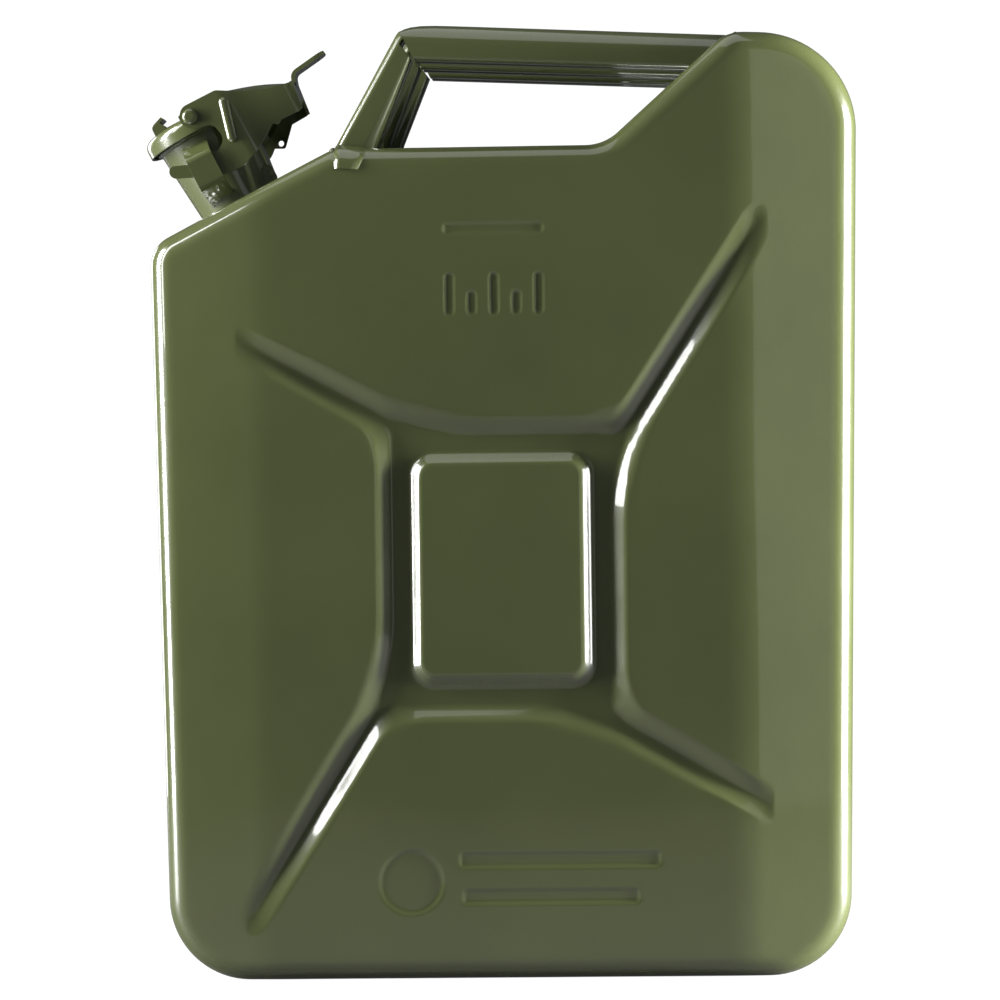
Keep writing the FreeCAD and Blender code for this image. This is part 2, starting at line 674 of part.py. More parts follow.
def lever_cheeks():
    """The two hooked side plates; the right one carries the seal tab."""
    inner, outer = cheek_faces()
    left = plate(CHEEK, -outer, -inner)
    right = fused([plate(CHEEK, inner, outer), plate(SEAL_TAB, inner, outer)])
    right = right.cut(pin(SEAL_HOLE[0], SEAL_HOLE[1], SEAL_HOLE_RADIUS, inner - 1, outer + 1))
    return [left, right]


def lever_ribs():
    """Stiffening ribs pressed out of the cheeks."""
    outer = cheek_faces()[1]
    (x0, z0), (x1, z1) = RIB
    run = Vector(x1 - x0, 0, z1 - z0).normalize()
    side = Vector(-run.z, 0, run.x) * RIB_HALF
    ends = [(x0 - run.x * RIB_HALF, z0 - run.z * RIB_HALF), (x1 + run.x * RIB_HALF, z1 + run.z * RIB_HALF)]
    corners = [(ends[0][0] + side.x, ends[0][1] + side.z, RIB_HALF - 0.1),
               (ends[1][0] + side.x, ends[1][1] + side.z, RIB_HALF - 0.1),
               (ends[1][0] - side.x, ends[1][1] - side.z, RIB_HALF - 0.1),
               (ends[0][0] - side.x, ends[0][1] - side.z, RIB_HALF - 0.1)]
    right = plate(corners, outer, outer + RIB_HEIGHT)
    return [right, mirrored(right)]


def finger_tab():
    tab = plate(strip(FINGER_PATH, FINGER_SHEET), -FINGER_HALF, FINGER_HALF)
    x, z = FINGER_PATH[-1][:2]
    low, high = z - 10, z + 10
    tab = tab.cut(post(FINGER_HOLE, low, high, x - FINGER_HOLE_BACK))
    reach = FINGER_HALF - FINGER_ROUND
    for side in (1, -1):
        near, far = sorted((side * reach, side * (FINGER_HALF + 1)))
        corner = box(x - FINGER_ROUND, x + 2, near, far, low, high)
        tab = tab.cut(corner.cut(post(FINGER_ROUND, low, high, x - FINGER_ROUND, side * reach)))
    return tab


def lever_back():
    """Cross plate that closes the lever at its rear end."""
    reach = cheek_faces()[0] + 0.2
    x, z = WEB_REAR
    top = z - 0.8
    return plate([(x - 2.0, top, 0), (x - 0.2, top, 0), (x - 1.4, BACK_LOW, 0), (x - 3.0, BACK_LOW, 0)],
                 -reach, reach)


def cam_lever():
    inner, outer = cheek_faces()
    lever = fused(lever_cheeks() + lever_ribs() + [lever_web(), lever_back(), finger_tab()])
    dip = pin(SCALLOP[0], SCALLOP[1], SCALLOP[2], inner - 2.5, outer + 2)
    lever = lever.cut(dip).cut(mirrored(dip))
    lever = lever.cut(pin(PIVOT[0], PIVOT[1], PIVOT_RADIUS, -outer - 2, outer + 2))
    return max(lever.Solids, key=lambda s: s.Volume)


def lever_rivets():
    """Two rivets on the pivot axis; they turn with the lever inside the bracket's ears."""
    inner, outer = ear_faces()[0], cheek_faces()[1]
    shank = post(PIVOT_RADIUS, inner, outer)
    dome = outer + RIVET_DOME
    head = turned([(0, outer, 0), (RIVET_HEAD, outer, 0), (RIVET_HEAD, dome, 2.2), (0, dome, 0)])
    rivet = fused([shank, head])
    rivet.rotate(Vector(0, 0, 0), Vector(1, 0, 0), -90)
    rivet.translate(Vector(PIVOT[0], 0, PIVOT[1]))
    return Part.makeCompound([rivet, mirrored(rivet)])


# ---- the whole can -------------------------------------------------------
def build():
    """Every sub-part by name, before the can is centred on its origin."""
    nodes = shells()
    body = plain_body(0.0)
    for name, centre in HANDLE_CENTRES.items():
        nodes[name] = handle(centre, body)
    nodes["handle_welds"] = handle_welds(body, [nodes[name] for name in HANDLE_CENTRES])
    nodes["seam_weld"] = seam_weld()
    loop = catch_loop()
    in_neck_frame = {
        "filler_neck": filler_neck(),
        "neck_weld": neck_weld(),
        "breather_tube": breather_tube(),
        "left_catch_loop": mirrored(loop),
        "right_catch_loop": loop,
        "hinge_bracket": hinge_bracket(),
        "hinge_pin": hinge_pin(),
        "seal_lug": seal_lug(),
        "cap_shell": cap_shell(),
        "cap_gasket": cap_gasket(),
        "gasket_retainer": gasket_retainer(),
        "cap_rivet": cap_rivet(),
        "cap_bracket": cap_bracket(),
        "cap_hinge_lug": cap_hinge_lug(),
        "cam_lever": cam_lever(),
        "lever_rivets": lever_rivets(),
    }
    for name, shape in in_neck_frame.items():
        nodes[name] = on_neck(shape)
    return nodes


def main():
    os.makedirs("parts", exist_ok=True)
    nodes = build()
    bounds = Part.makeCompound(list(nodes.values())).optimalBoundingBox(True, False)
    shift = Vector(-(bounds.XMin + bounds.XMax) / 2, 0, 0)
    for name, shape in nodes.items():
        shape.translate(shift)
        shape.exportStep(f"parts/{name}.step")
        print(name, len(shape.Solids), round(shape.Volume), shape.isValid())
    for name, (x, z) in (("pivot", PIVOT), ("hinge", HINGE), ("seal_hole", SEAL_HOLE), ("neck", (0, 0))):
        place = on_neck(Part.Vertex(x, 0, z)).Point + shift
        print(name, round(place.x, 3), round(place.z, 3))
    print("size", bounds.XLength, bounds.YLength, bounds.ZLength, "shift", shift.x, "bottom", bounds.ZMin)


main()
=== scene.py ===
import json
import math

import bmesh
import bpy
import numpy as np
from mathutils import Matrix, Vector


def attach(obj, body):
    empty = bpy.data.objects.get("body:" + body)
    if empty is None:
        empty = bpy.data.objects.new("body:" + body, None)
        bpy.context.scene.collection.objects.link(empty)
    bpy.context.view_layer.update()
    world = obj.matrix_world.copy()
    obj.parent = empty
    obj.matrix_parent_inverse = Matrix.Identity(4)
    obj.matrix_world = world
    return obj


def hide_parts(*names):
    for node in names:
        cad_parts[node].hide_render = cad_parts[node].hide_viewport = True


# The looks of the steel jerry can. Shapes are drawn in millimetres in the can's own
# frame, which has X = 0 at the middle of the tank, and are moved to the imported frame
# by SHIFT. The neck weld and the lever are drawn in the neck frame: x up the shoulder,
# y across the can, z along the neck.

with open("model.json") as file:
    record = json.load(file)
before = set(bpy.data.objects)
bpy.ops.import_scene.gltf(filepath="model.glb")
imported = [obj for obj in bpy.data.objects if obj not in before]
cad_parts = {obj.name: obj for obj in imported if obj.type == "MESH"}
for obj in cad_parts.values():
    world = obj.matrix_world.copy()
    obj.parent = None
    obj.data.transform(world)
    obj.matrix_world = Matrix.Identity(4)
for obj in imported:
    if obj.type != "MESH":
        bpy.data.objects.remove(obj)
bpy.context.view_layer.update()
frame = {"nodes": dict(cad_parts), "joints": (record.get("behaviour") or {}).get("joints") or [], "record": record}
MM = 0.001

# ---- driving dimensions ----------------------------------------------------
HALF_WIDTH = 176.0
SHOULDER_HALF_WIDTH = 174.2
FOOT_HALF_WIDTH = 167.8
HALF_DEPTH = 82.5
EDGE_DEPTH = 74.0
SLOPE_START = 117.0
SLOPE_BEND = 9.0            # half length of the soft bend where the slope starts
BODY_TOP = 463.6
REAR_TOP = 462.0
SADDLE_TOP = 409.0
SADDLE_START = -82.0
SHOULDER_LOW = 362.4
EDGE_ROUND = 10.0
OUTLINE = (                 # side view: x, z and corner radius
    (-FOOT_HALF_WIDTH, 0.0, 40.0),
    (FOOT_HALF_WIDTH, 0.0, 40.0),
    (HALF_WIDTH, REAR_TOP, 48.0),
    (112.5, BODY_TOP, 20.0),
    (51.5, SADDLE_TOP, 24.0),
    (SADDLE_START, SADDLE_TOP, 16.0),
    (-SHOULDER_HALF_WIDTH, SHOULDER_LOW, 16.0),
)
SHEET = 1.0

PATTERN = (-1.0, 201.0)
CHANNEL_DEPTH = 4.5
WALL_RUN = 7.0              # how far the pad's wall spreads over its depth
OUTER_RUN = 9.5             # the same for the outer walls of the channels
PAD_HALF = (42.2, 54.8)
PANEL_HALF = (57.7, 70.5)
PAD_ROUND = 9.0
PANEL_ROUND = 14.0
ARM_HALF = 5.4
ARM_TIP_DEPTH = 2.0
ARM_NARROWING = 0.18        # share of its width that an arm loses by its tip
ARM_END_STRETCH = 0.8
ARM_ROOT = 20.0             # how far an arm reaches back into the ring
ARM_SIDE = 25.0             # how far to its sides an arm sets the depth
SHALLOW_FROM = 0.45         # share of an arm's length where it starts to get shallower
SHALLOW_RUN = 0.6
PAD_CROWN = 0.5
ARMS = (                    # start and tip of each arm, from the pattern's centre
    ((52.0, 52.0), (127.0, 168.0)),
    ((-52.0, 72.0), (-128.0, 113.5)),
    ((-52.0, -52.0), (-123.5, -168.0)),
    ((52.0, -72.0), (128.5, -116.0)),
)
JUNCTION = 16.0             # how far the corners between arms and ring are softened

MARK_DEPTH = 0.6
MARK_RUN = 1.6
MARK_ROUND = 1.8
MARK_LINES = (              # x, z, width, height
    (-3.0, 368.5, 49.0, 5.0),
    (-25.0, 336.5, 4.5, 20.0),
    (-14.0, 332.0, 4.5, 11.0),
    (-3.0, 336.5, 4.5, 20.0),
    (8.0, 332.0, 4.5, 11.0),
    (19.0, 336.5, 4.5, 20.0),
    (26.0, 58.5, 98.0, 6.5),
    (21.5, 40.5, 86.0, 6.5),
)
MARK_DISC = (-47.0, 48.0, 15.5)

SHOULDER_RISE = (SADDLE_TOP - SHOULDER_LOW) / (SADDLE_START + SHOULDER_HALF_WIDTH)
NECK_TILT = math.atan(SHOULDER_RISE)
NECK_X = -133.0
NECK_BASE = (NECK_X, SHOULDER_LOW + SHOULDER_RISE * (NECK_X + SHOULDER_HALF_WIDTH))
NECK_RADIUS = 21.5
NECK_PAD = 34.0
PIVOT = (-0.9, 51.5)


def on_neck(x, z):
    """A point of the neck frame in the can's frame."""
    c, s = math.cos(NECK_TILT), math.sin(NECK_TILT)
    return NECK_BASE[0] + x * c - z * s, NECK_BASE[1] + x * s + z * c


lever_joint = next(j for j in frame["joints"] if j["name"] == "lever_pivot")
SHIFT = lever_joint["pos_m"][0] / MM - on_neck(*PIVOT)[0]


# ---- mesh helpers ----------------------------------------------------------
def make_object(name, vertices, faces):
    """A mesh object from points in millimetres in the can's frame."""
    points = np.asarray(vertices, float) + np.array([SHIFT, 0.0, 0.0])
    mesh = bpy.data.meshes.new(name)
    mesh.from_pydata((points * MM).tolist(), [], faces)
    mesh.validate()
    mesh.update()
    mesh.shade_smooth()
    obj = bpy.data.objects.new(name, mesh)
    bpy.context.scene.collection.objects.link(obj)
    return obj


def face_outwards(obj, merge=0.0):
    """Turns an object's faces outwards, after joining points nearer than merge metres."""
    mesh = bmesh.new()
    mesh.from_mesh(obj.data)
    if merge:
        bmesh.ops.remove_doubles(mesh, verts=mesh.verts, dist=merge)
    bmesh.ops.recalc_face_normals(mesh, faces=mesh.faces)
    mesh.to_mesh(obj.data)
    mesh.free()


def joined(name, parts):
    """Several objects made into one."""
    with bpy.context.temp_override(active_object=parts[0], selected_editable_objects=parts):
        bpy.ops.object.join()
    parts[0].name = name
    return parts[0]


# ---- outline of the can ----------------------------------------------------
def unit(v):
    """A direction's unit vector."""
    return v / np.hypot(*v)


def outline_runs():
    """The side outline as straight and round runs: (length, function of 0..1 -> point, normal)."""
    count = len(OUTLINE)
    corners = [np.array(c[:2]) for c in OUTLINE]
    arcs = []
    for i, (x, z, radius) in enumerate(OUTLINE):
        back = unit(corners[i - 1] - corners[i])
        ahead = unit(corners[(i + 1) % count] - corners[i])
        half = math.acos(float(np.dot(back, ahead))) / 2
        reach = radius / math.tan(half)
        centre = corners[i] + unit(back + ahead) * radius / math.sin(half)
        arcs.append((corners[i] + back * reach, corners[i] + ahead * reach, centre, radius))
    runs = []
    for i, (start, end, centre, radius) in enumerate(arcs):
        a0 = math.atan2(*(start - centre)[::-1])
        turn = math.atan2(*(end - centre)[::-1]) - a0
        turn = (turn + math.pi) % (2 * math.pi) - math.pi
        sign = 1.0 if turn > 0 else -1.0

        def on_arc(t, a0=a0, turn=turn, centre=centre, radius=radius, sign=sign):
            a = a0 + turn * t
            d = np.array([math.cos(a), math.sin(a)])
            return centre + d * radius, d * sign

        following = arcs[(i + 1) % count][0]
        step = following - end
        normal = np.array([step[1], -step[0]]) / np.hypot(*step)

        def on_line(t, end=end, step=step, normal=normal):
            return end + step * t, normal

        runs.append((abs(turn) * radius, on_arc, True))
        runs.append((float(np.hypot(*step)), on_line, False))
    return runs


FINE_SECTORS = (            # from and to in degrees about the pattern's centre, column spacing
    (36.0, 62.0, 1.9),
    (75.0, 105.0, 1.15),
    (117.0, 148.0, 1.9),
    (-143.0, -117.0, 1.9),
    (-117.0, -60.0, 1.45),
    (-60.0, -32.0, 1.9),
)
PLAIN_SPACING = 5.5
ARC_SPACING = 3.0
NECK_SPACING = 2.0
SPACING_GROWTH = 0.8        # how fast the spacing widens beside a fine sector, mm per degree


def spacing_at(point, on_arc):
    """Distance from one column of the shell to the next at a point of the outline."""
    angle = math.degrees(math.atan2(point[1] - PATTERN[1], point[0] - PATTERN[0]))
    best = ARC_SPACING if on_arc else PLAIN_SPACING
    for low, high, fine in FINE_SECTORS:
        gap = max(low - angle, angle - high, 0.0)
        best = min(best, fine + gap * SPACING_GROWTH)
    if np.hypot(*(point - np.array(NECK_BASE))) < NECK_PAD + 10:
        best = min(best, NECK_SPACING)
    return best


def outline_columns():
    """Points and outward normals round the outline, closer together where the face has detail."""
    points, normals = [], []
    for length, place, on_arc in outline_runs():
        marks = [0.0]
        while marks[-1] < length:
            marks.append(marks[-1] + spacing_at(place(marks[-1] / length)[0], on_arc))
        scale = 1.0 / marks[-1]
        for mark in marks[:-1]:
            p, n = place(mark * scale)
            points.append(p)
            normals.append(n)
    return np.array(points), np.array(normals)


# ---- height of the pressed face --------------------------------------------
def ramp(t):
    """A smooth step from 0 to 1."""
    t = np.clip(t, 0.0, 1.0)
    return t * t * (3 - 2 * t)


def pressed_ramp(t):
    """A wall with a straight middle and small roundings at its ends."""
    t = np.clip(t, 0.0, 1.0)
    bend = 0.24
    slope = 1.0 / (1.0 - bend)
    low = slope * t * t / (2 * bend)
    high = 1.0 - slope * (1 - t) ** 2 / (2 * bend)
    middle = slope * (t - bend / 2)
    return np.where(t < bend, low, np.where(t > 1 - bend, high, middle))


def box_distance(x, z, half_x, half_z, corner):
    """Distance outside a rounded rectangle about the origin, negative inside it."""
    qx = np.abs(x) - half_x + corner
    qz = np.abs(z) - half_z + corner
    outside = np.hypot(np.maximum(qx, 0), np.maximum(qz, 0))
    return outside + np.minimum(np.maximum(qx, qz), 0) - corner


def soft_min(a, b, k):
    """The smaller of two distances, blended where they differ by less than k."""
    h = np.maximum(k - np.abs(a - b), 0.0) / k
    return np.minimum(a, b) - h * h * k / 4


def plain_depth(x):
    """Depth of the face without its pattern: flat, then sloping back to the sides."""
    fall = (HALF_DEPTH - EDGE_DEPTH) / (HALF_WIDTH - SLOPE_START)
    over = np.abs(x) - SLOPE_START
    soft = (over + SLOPE_BEND) ** 2 / (4 * SLOPE_BEND)
    over = np.where(over > SLOPE_BEND, over, np.where(over > -SLOPE_BEND, soft, 0.0))
    return HALF_DEPTH - fall * over


def waviness(x, z):
    """The slight unevenness of pressed sheet."""
    return (0.07 * np.sin(x / 31.0 + 0.6 * np.sin(z / 47.0)) * np.sin(z / 38.0 + 1.3)
            + 0.05 * np.sin((x + 0.7 * z) / 23.0 + 2.1))


def face_depth(x, z):
    """Depth of the left face's outer surface at a point, positive outwards."""
    u, w = x - PATTERN[0], z - PATTERN[1]
    ring = box_distance(u, w, PANEL_HALF[0], PANEL_HALF[1], PANEL_ROUND)
    depth_field = np.full_like(u, CHANNEL_DEPTH)
    pressed = ring
    for start, tip in ARMS:
        along = np.array(tip) - np.array(start)
        length = float(np.hypot(*along))
        along = along / length
        t = (u - start[0]) * along[0] + (w - start[1]) * along[1]
        side = np.abs((w - start[1]) * along[0] - (u - start[0]) * along[1])
        narrow = 1.0 - ARM_NARROWING * np.clip(t / length, 0, 1)
        end = np.maximum(t - length, 0.0)
        arm = np.hypot(side, end * ARM_END_STRETCH) - ARM_HALF * narrow
        arm = np.where(t < 0, np.maximum(arm, -t - ARM_ROOT), arm)
        pressed = soft_min(pressed, arm, JUNCTION)
        rise = ramp((t / length - SHALLOW_FROM) / SHALLOW_RUN)
        shallow = CHANNEL_DEPTH + (ARM_TIP_DEPTH - CHANNEL_DEPTH) * rise
        beside = (t > 0) & (side < ARM_SIDE)
        depth_field = np.where(beside, np.minimum(depth_field, shallow), depth_field)
    wall = pressed_ramp(0.5 - pressed / OUTER_RUN)
    pad = box_distance(u, w, PAD_HALF[0], PAD_HALF[1], PAD_ROUND)
    pad_wall = pressed_ramp(0.5 + pad / WALL_RUN)
    channel = HALF_DEPTH - depth_field
    base = plain_depth(x)
    sink = np.maximum(base - channel, 0.0) * wall * pad_wall
    crown = PAD_CROWN * (1 - (u / PAD_HALF[0]) ** 2) * (1 - (w / PAD_HALF[1]) ** 2)
    crown = np.where(pad < 0, np.maximum(crown, 0.0), 0.0)
    mark = np.full_like(u, 1e3)
    for mx, mz, width, height in MARK_LINES:
        line = box_distance(x - mx, z - mz, width / 2, height / 2, MARK_ROUND)
        mark = np.minimum(mark, line)
    mark = np.minimum(mark, np.hypot(x - MARK_DISC[0], z - MARK_DISC[1]) - MARK_DISC[2])
    stamped = MARK_DEPTH * pressed_ramp(0.5 - mark / MARK_RUN)
    return base - sink + crown - stamped + waviness(x, z)


# ---- shells ----------------------------------------------------------------
GROOVE = (                  # profile of the seam groove: distance from the seam, inset
    (13.5, 0.0), (11.6, 0.15), (10.3, 0.75), (9.4, 1.9), (8.8, 3.4),
    (8.2, 4.7), (7.2, 5.6), (5.8, 5.95), (3.0, 6.0), (0.0, 6.0),
)
GROOVE_FADE = 7.0           # how far the groove takes to start beside the neck
PAD_ROWS = (0.35, 0.8, 0.94)                        # shares of the way to the pad's edge
PAD_MARGIN = 4.2            # the rows of the walls start this far inside the pad's edge
RING_MARGIN = 5.4           # and end this far outside the ring
WALL_ROWS = 24
FACE_ROWS = ((0.0, 0.39, 13), (0.39, 0.82, 52), (0.82, 1.0, 9))       # from, to, number of rows
ROUND_ROWS = 9
ROUND_WEIGHT = 0.72
UNDER_NECK = 3.0            # points nearer than this to the shoulder's line lie on it
SEAM_OFFSETS = (0, 2, 4, 6, 7, 9, 11, 13, 15, 18)   # rows of the inner skin, from the rounding on


def ring_points(angles, half_x, half_z, corner):
    """Points of a rounded rectangle about the pattern's centre, on rays at these angles."""
    c, s = np.cos(angles), np.sin(angles)
    reach = np.full_like(c, max(half_x, half_z) * 1.5)
    low = np.zeros_like(c)
    for _ in range(44):
        mid = (low + reach) / 2
        inside = box_distance(mid * c, mid * s, half_x, half_z, corner) < 0
        low = np.where(inside, mid, low)
        reach = np.where(inside, reach, mid)
    return np.stack([PATTERN[0] + reach * c, PATTERN[1] + reach * s], 1)


def shell_rows():
    """The left shell's outer surface as rows of points (x, depth, z), from the pad to the seam."""
    edge, normal = outline_columns()
    angles = np.arctan2(edge[:, 1] - PATTERN[1], edge[:, 0] - PATTERN[0])
    rows = []

    def face_row(points):
        rows.append(np.stack([points[:, 0], face_depth(points[:, 0], points[:, 1]), points[:, 1]], 1))

    pad_edge = (PAD_HALF[0] - PAD_MARGIN, PAD_HALF[1] - PAD_MARGIN, PAD_ROUND - 4.0)
    ring_edge = tuple(v + RING_MARGIN for v in (*PANEL_HALF, PANEL_ROUND))
    for share in PAD_ROWS:
        face_row(ring_points(angles, *(v * share for v in pad_edge)))
    for t in np.linspace(0, 1, WALL_ROWS):
        face_row(ring_points(angles, *(a + (b - a) * t for a, b in zip(pad_edge, ring_edge))))
    ring = ring_points(angles, *ring_edge)
    inner = edge - normal * EDGE_ROUND
    for share in np.concatenate([np.linspace(*rows_of)[1:] for rows_of in FACE_ROWS]):
        face_row(ring + (inner - ring) * share)
    start = rows[-1][:, 1]
    foot = start - (plain_depth(inner[:, 0]) - plain_depth(edge[:, 0]))
    for t in np.linspace(0, 1, ROUND_ROWS)[1:]:
        b = np.array([(1 - t) ** 2, 2 * t * (1 - t) * ROUND_WEIGHT, t * t])
        b = b / b.sum()
        inset = b[0] * EDGE_ROUND
        depth = b[0] * start + b[1] * foot + b[2] * (foot - EDGE_ROUND)
        points = edge - normal * inset
        rows.append(np.stack([points[:, 0], depth, points[:, 1]], 1))
    along = np.array([math.cos(NECK_TILT), math.sin(NECK_TILT)])
    offset = edge - np.array(NECK_BASE)
    u = offset @ along
    near = np.abs(offset @ np.array([-along[1], along[0]])) < UNDER_NECK
    grooved = np.where(near, ramp((np.abs(u) - NECK_PAD) / GROOVE_FADE + 0.5), 1.0)
    hole = np.where(near, np.sqrt(np.maximum(NECK_RADIUS ** 2 - u ** 2, 0.0)), 0.0)
    top = rows[-1][:, 1]
    lines = [(0.5 * (top + GROOVE[0][0]), 0.0)]
    lines += [(np.full_like(top, y), inset) for y, inset in GROOVE]
    for y, inset in lines:
        points = edge - normal * (inset * grooved)[:, None]
        y = hole + y * (top - hole) / top
        rows.append(np.stack([points[:, 0], y, points[:, 1]], 1))
    return rows


def grid_normals(grid):
    """Outward normals of a closed-column grid of points."""
    across = np.roll(grid, -1, 1) - np.roll(grid, 1, 1)
    down = np.empty_like(grid)
    down[1:-1] = grid[2:] - grid[:-2]
    down[0] = grid[1] - grid[0]
    down[-1] = grid[-1] - grid[-2]
    n = np.cross(across, down)
    size = np.linalg.norm(n, axis=2, keepdims=True)
    return n / np.maximum(size, 1e-9)


def shell(name, side):
    """One pressed half: the outer skin in fine rows, the inner skin in coarse ones."""
    grid = np.array(shell_rows())
    count = len(grid)
    skin = grid.copy()
    skin[:, :, 1] *= -1                     # the left shell faces -Y
    normals = grid_normals(skin)
    if normals[5, 10, 1] > 0:
        normals *= -1
    normals[-1, :, 1] = 0.0
    seam = np.linalg.norm(normals[-1], axis=1, keepdims=True)
    normals[-1] /= np.maximum(seam, 1e-9)
    wall = len(PAD_ROWS)
    face = wall + WALL_ROWS
    rounding = count - 1 - SEAM_OFFSETS[-1]
    keep = [0, 2, wall] + list(range(wall + 3, face, 3)) + list(range(face + 3, rounding, 4))
    keep += [rounding + k for k in SEAM_OFFSETS]
    inside = (skin - normals * SHEET)[keep]
    inside[-1, :, 1] = skin[-1, :, 1]
    layers = np.concatenate([skin, inside[::-1]])
    columns = layers.shape[1]
    total = len(layers)
    vertices = layers.reshape(-1, 3).tolist()
    index = np.arange(total * columns).reshape(total, columns)
    following = np.roll(index, -1, 1)
    quads = np.stack([index[:-1], following[:-1], following[1:], index[1:]], 2)
    faces = quads.reshape(-1, 4)[:, ::-1].tolist()
    for row, flip in ((0, False), (total - 1, True)):
        centre = layers[row].mean(0)
        centre[1] = layers[row][:, 1].mean()
        vertices.append(centre.tolist())
        middle = len(vertices) - 1
        for a, b in zip(index[row], following[row]):
            faces.append([middle, int(b), int(a)][::(1 if not flip else -1)])
    vertices = np.array(vertices)
    if side > 0:
        vertices[:, 1] *= -1
        faces = [f[::-1] for f in faces]
    obj = make_object(name, vertices, faces)
    face_outwards(obj)
    return obj


# ---- sheet parts -----------------------------------------------------------
def sheet_faces(quads, count):
    """Faces of a sheet from its outer quads: vertex i has its inner partner at i + count."""
    faces = [list(q) for q in quads]
    faces += [[v + count for v in reversed(q)] for q in quads]
    edges = {}
    for q in quads:
        for a, b in zip(q, q[1:] + q[:1]):
            edges[(a, b)] = True
    for a, b in edges:
        if (b, a) not in edges:
            faces.append([b, a, a + count, b + count])
    return faces


def soften(obj, width, angle=35.0, segments=3):
    """Rounds an object's sharp edges, as bent and painted sheet has them."""
    bevel = obj.modifiers.new("rounded_edges", "BEVEL")
    bevel.width = width * MM
    bevel.segments = segments
    bevel.limit_method = "ANGLE"
    bevel.angle_limit = math.radians(angle)
    bevel.miter_outer = "MITER_ARC"
    shading = obj.modifiers.new("even_shading", "WEIGHTED_NORMAL")
    shading.keep_sharp = False
    shading.weight = 80
    return obj


# ---- handles ---------------------------------------------------------------
HANDLE_CENTRES = {"left_handle": -60.0, "middle_handle": 0.0, "right_handle": 60.0}
HANDLE_HALF = 13.0
HANDLE_SHEET = 1.5
STRUT_FOOT = ((-90.0, 394.0), (-66.9, 394.0))       # outer and inner point: x, z
STRUT_TOP = ((-51.4, 463.6), (-43.6, 453.0))
GRIP_START = ((-48.6, 470.8), (-42.0, 452.2))
GRIP_END = ((117.0, 462.6), (117.0, 444.8))
FOOT_LAP = 1.6              # how far an outer strut's foot stands off the can's rounding
FOOT_LEAN = (0.55, 0.1)     # how the foot's outer and inner point lean in below the saddle
STRUT_STEPS = (0.07, 0.10, 0.13, 0.16, 0.19, 0.21, 0.225, 0.25, 0.3, 0.4, 0.55, 0.7, 0.85, 0.95, 1.0)
STRUT_SLOT = 6.8            # half width of the strut's open seam
GRIP_STEPS = (0.0, 0.012, 0.03, 0.06, 0.10, 0.15, 0.22, 0.34, 0.5, 0.66, 0.82, 1.0)
GRIP_SLOT = 4.5
GRIP_ROUND = (5.2, 7.2)     # radius of its top edges at the bend, and what they gain behind it
GRIP_FOLD = 2.6
NOSE_DROP = 4.0
LIP = 1.3                   # radius of the sheet's rolled lip
BEND_REACH = 11             # points each side of the middle where strut and grip stay joined
BEND_STEPS = 9


def between(start, end, t):
    """The point at share t of the way from start to end."""
    return np.array(start) + (np.array(end) - start) * t


def arc_points(cx, cq, radius, start, end, count):
    """Points of an arc about (cx, cq), from and to an angle in degrees."""
    steps = [math.radians(start + (end - start) * i / count) for i in range(count + 1)]
    return [(cx + radius * math.cos(a), cq + radius * math.sin(a)) for a in steps]


def handle_section(depth, left, right, round_out, round_in, slot):
    """Rolled section: (across, depth) from one lip of the open seam round to the other."""
    def half(reach):
        wall = depth - round_in - round_out
        edge = [(slot, depth - LIP - 1.6)]
        edge += arc_points(slot + LIP, depth - LIP, LIP, 180, 90, 4)
        edge += arc_points(reach - round_in, depth - round_in, round_in, 90, 0, 8)
        edge += [(reach, depth - round_in - wall * t) for t in (0.33, 0.67)]
        edge += arc_points(reach - round_out, round_out, round_out, 0, -90, 10)
        edge.append(((reach - round_out) * 0.5, 0.0))
        return edge

    one = [(-y, q) for y, q in half(left)]
    other = half(right)
    return np.array(one + [(0.0, 0.0)] + other[::-1])


def section_inside(section, thickness):
    """The section's inner skin, moved in by the sheet's thickness."""
    step = np.empty_like(section)
    step[1:-1] = section[2:] - section[:-2]
    step[0] = section[1] - section[0]
    step[-1] = section[-1] - section[-2]
    step /= np.linalg.norm(step, axis=1, keepdims=True)
    return section + np.stack([-step[:, 1], step[:, 0]], 1) * thickness


def handle_stations():
    """Sections along strut and grip: outer and inner point, radii, slot and reach at the outside."""
    stations = []
    for t in STRUT_STEPS:
        outer = between(STRUT_FOOT[0], STRUT_TOP[0], t)
        inner = between(STRUT_FOOT[1], STRUT_TOP[1], t)
        low = SADDLE_TOP - (outer[1] + inner[1]) / 2
        reach = HANDLE_HALF
        if low > 0:
            drop = min(low, EDGE_ROUND)
            rounding = math.sqrt(EDGE_ROUND ** 2 - (EDGE_ROUND - drop) ** 2)
            lap = HALF_DEPTH - EDGE_ROUND + rounding + FOOT_LAP
            reach = max(reach, lap - HANDLE_CENTRES["right_handle"])
            outer[0] += FOOT_LEAN[0] * low
            inner[0] -= FOOT_LEAN[1] * low
        fold = 2.0 + 6.0 * (1 - t) ** 1.2
        stations.append(("strut", outer, inner, 3.6 + 1.4 * t, fold, STRUT_SLOT, reach))
    for t in GRIP_STEPS:
        outer = between(GRIP_START[0], GRIP_END[0], t)
        inner = between(GRIP_START[1], GRIP_END[1], t)
        swell = 1.0 - math.exp(-t * 30.0)
        outer[1] -= NOSE_DROP * math.exp(-t * 32.0)
        top = GRIP_ROUND[0] + GRIP_ROUND[1] * swell
        stations.append(("grip", outer, inner, top, GRIP_FOLD, GRIP_SLOT, HANDLE_HALF))
    return stations


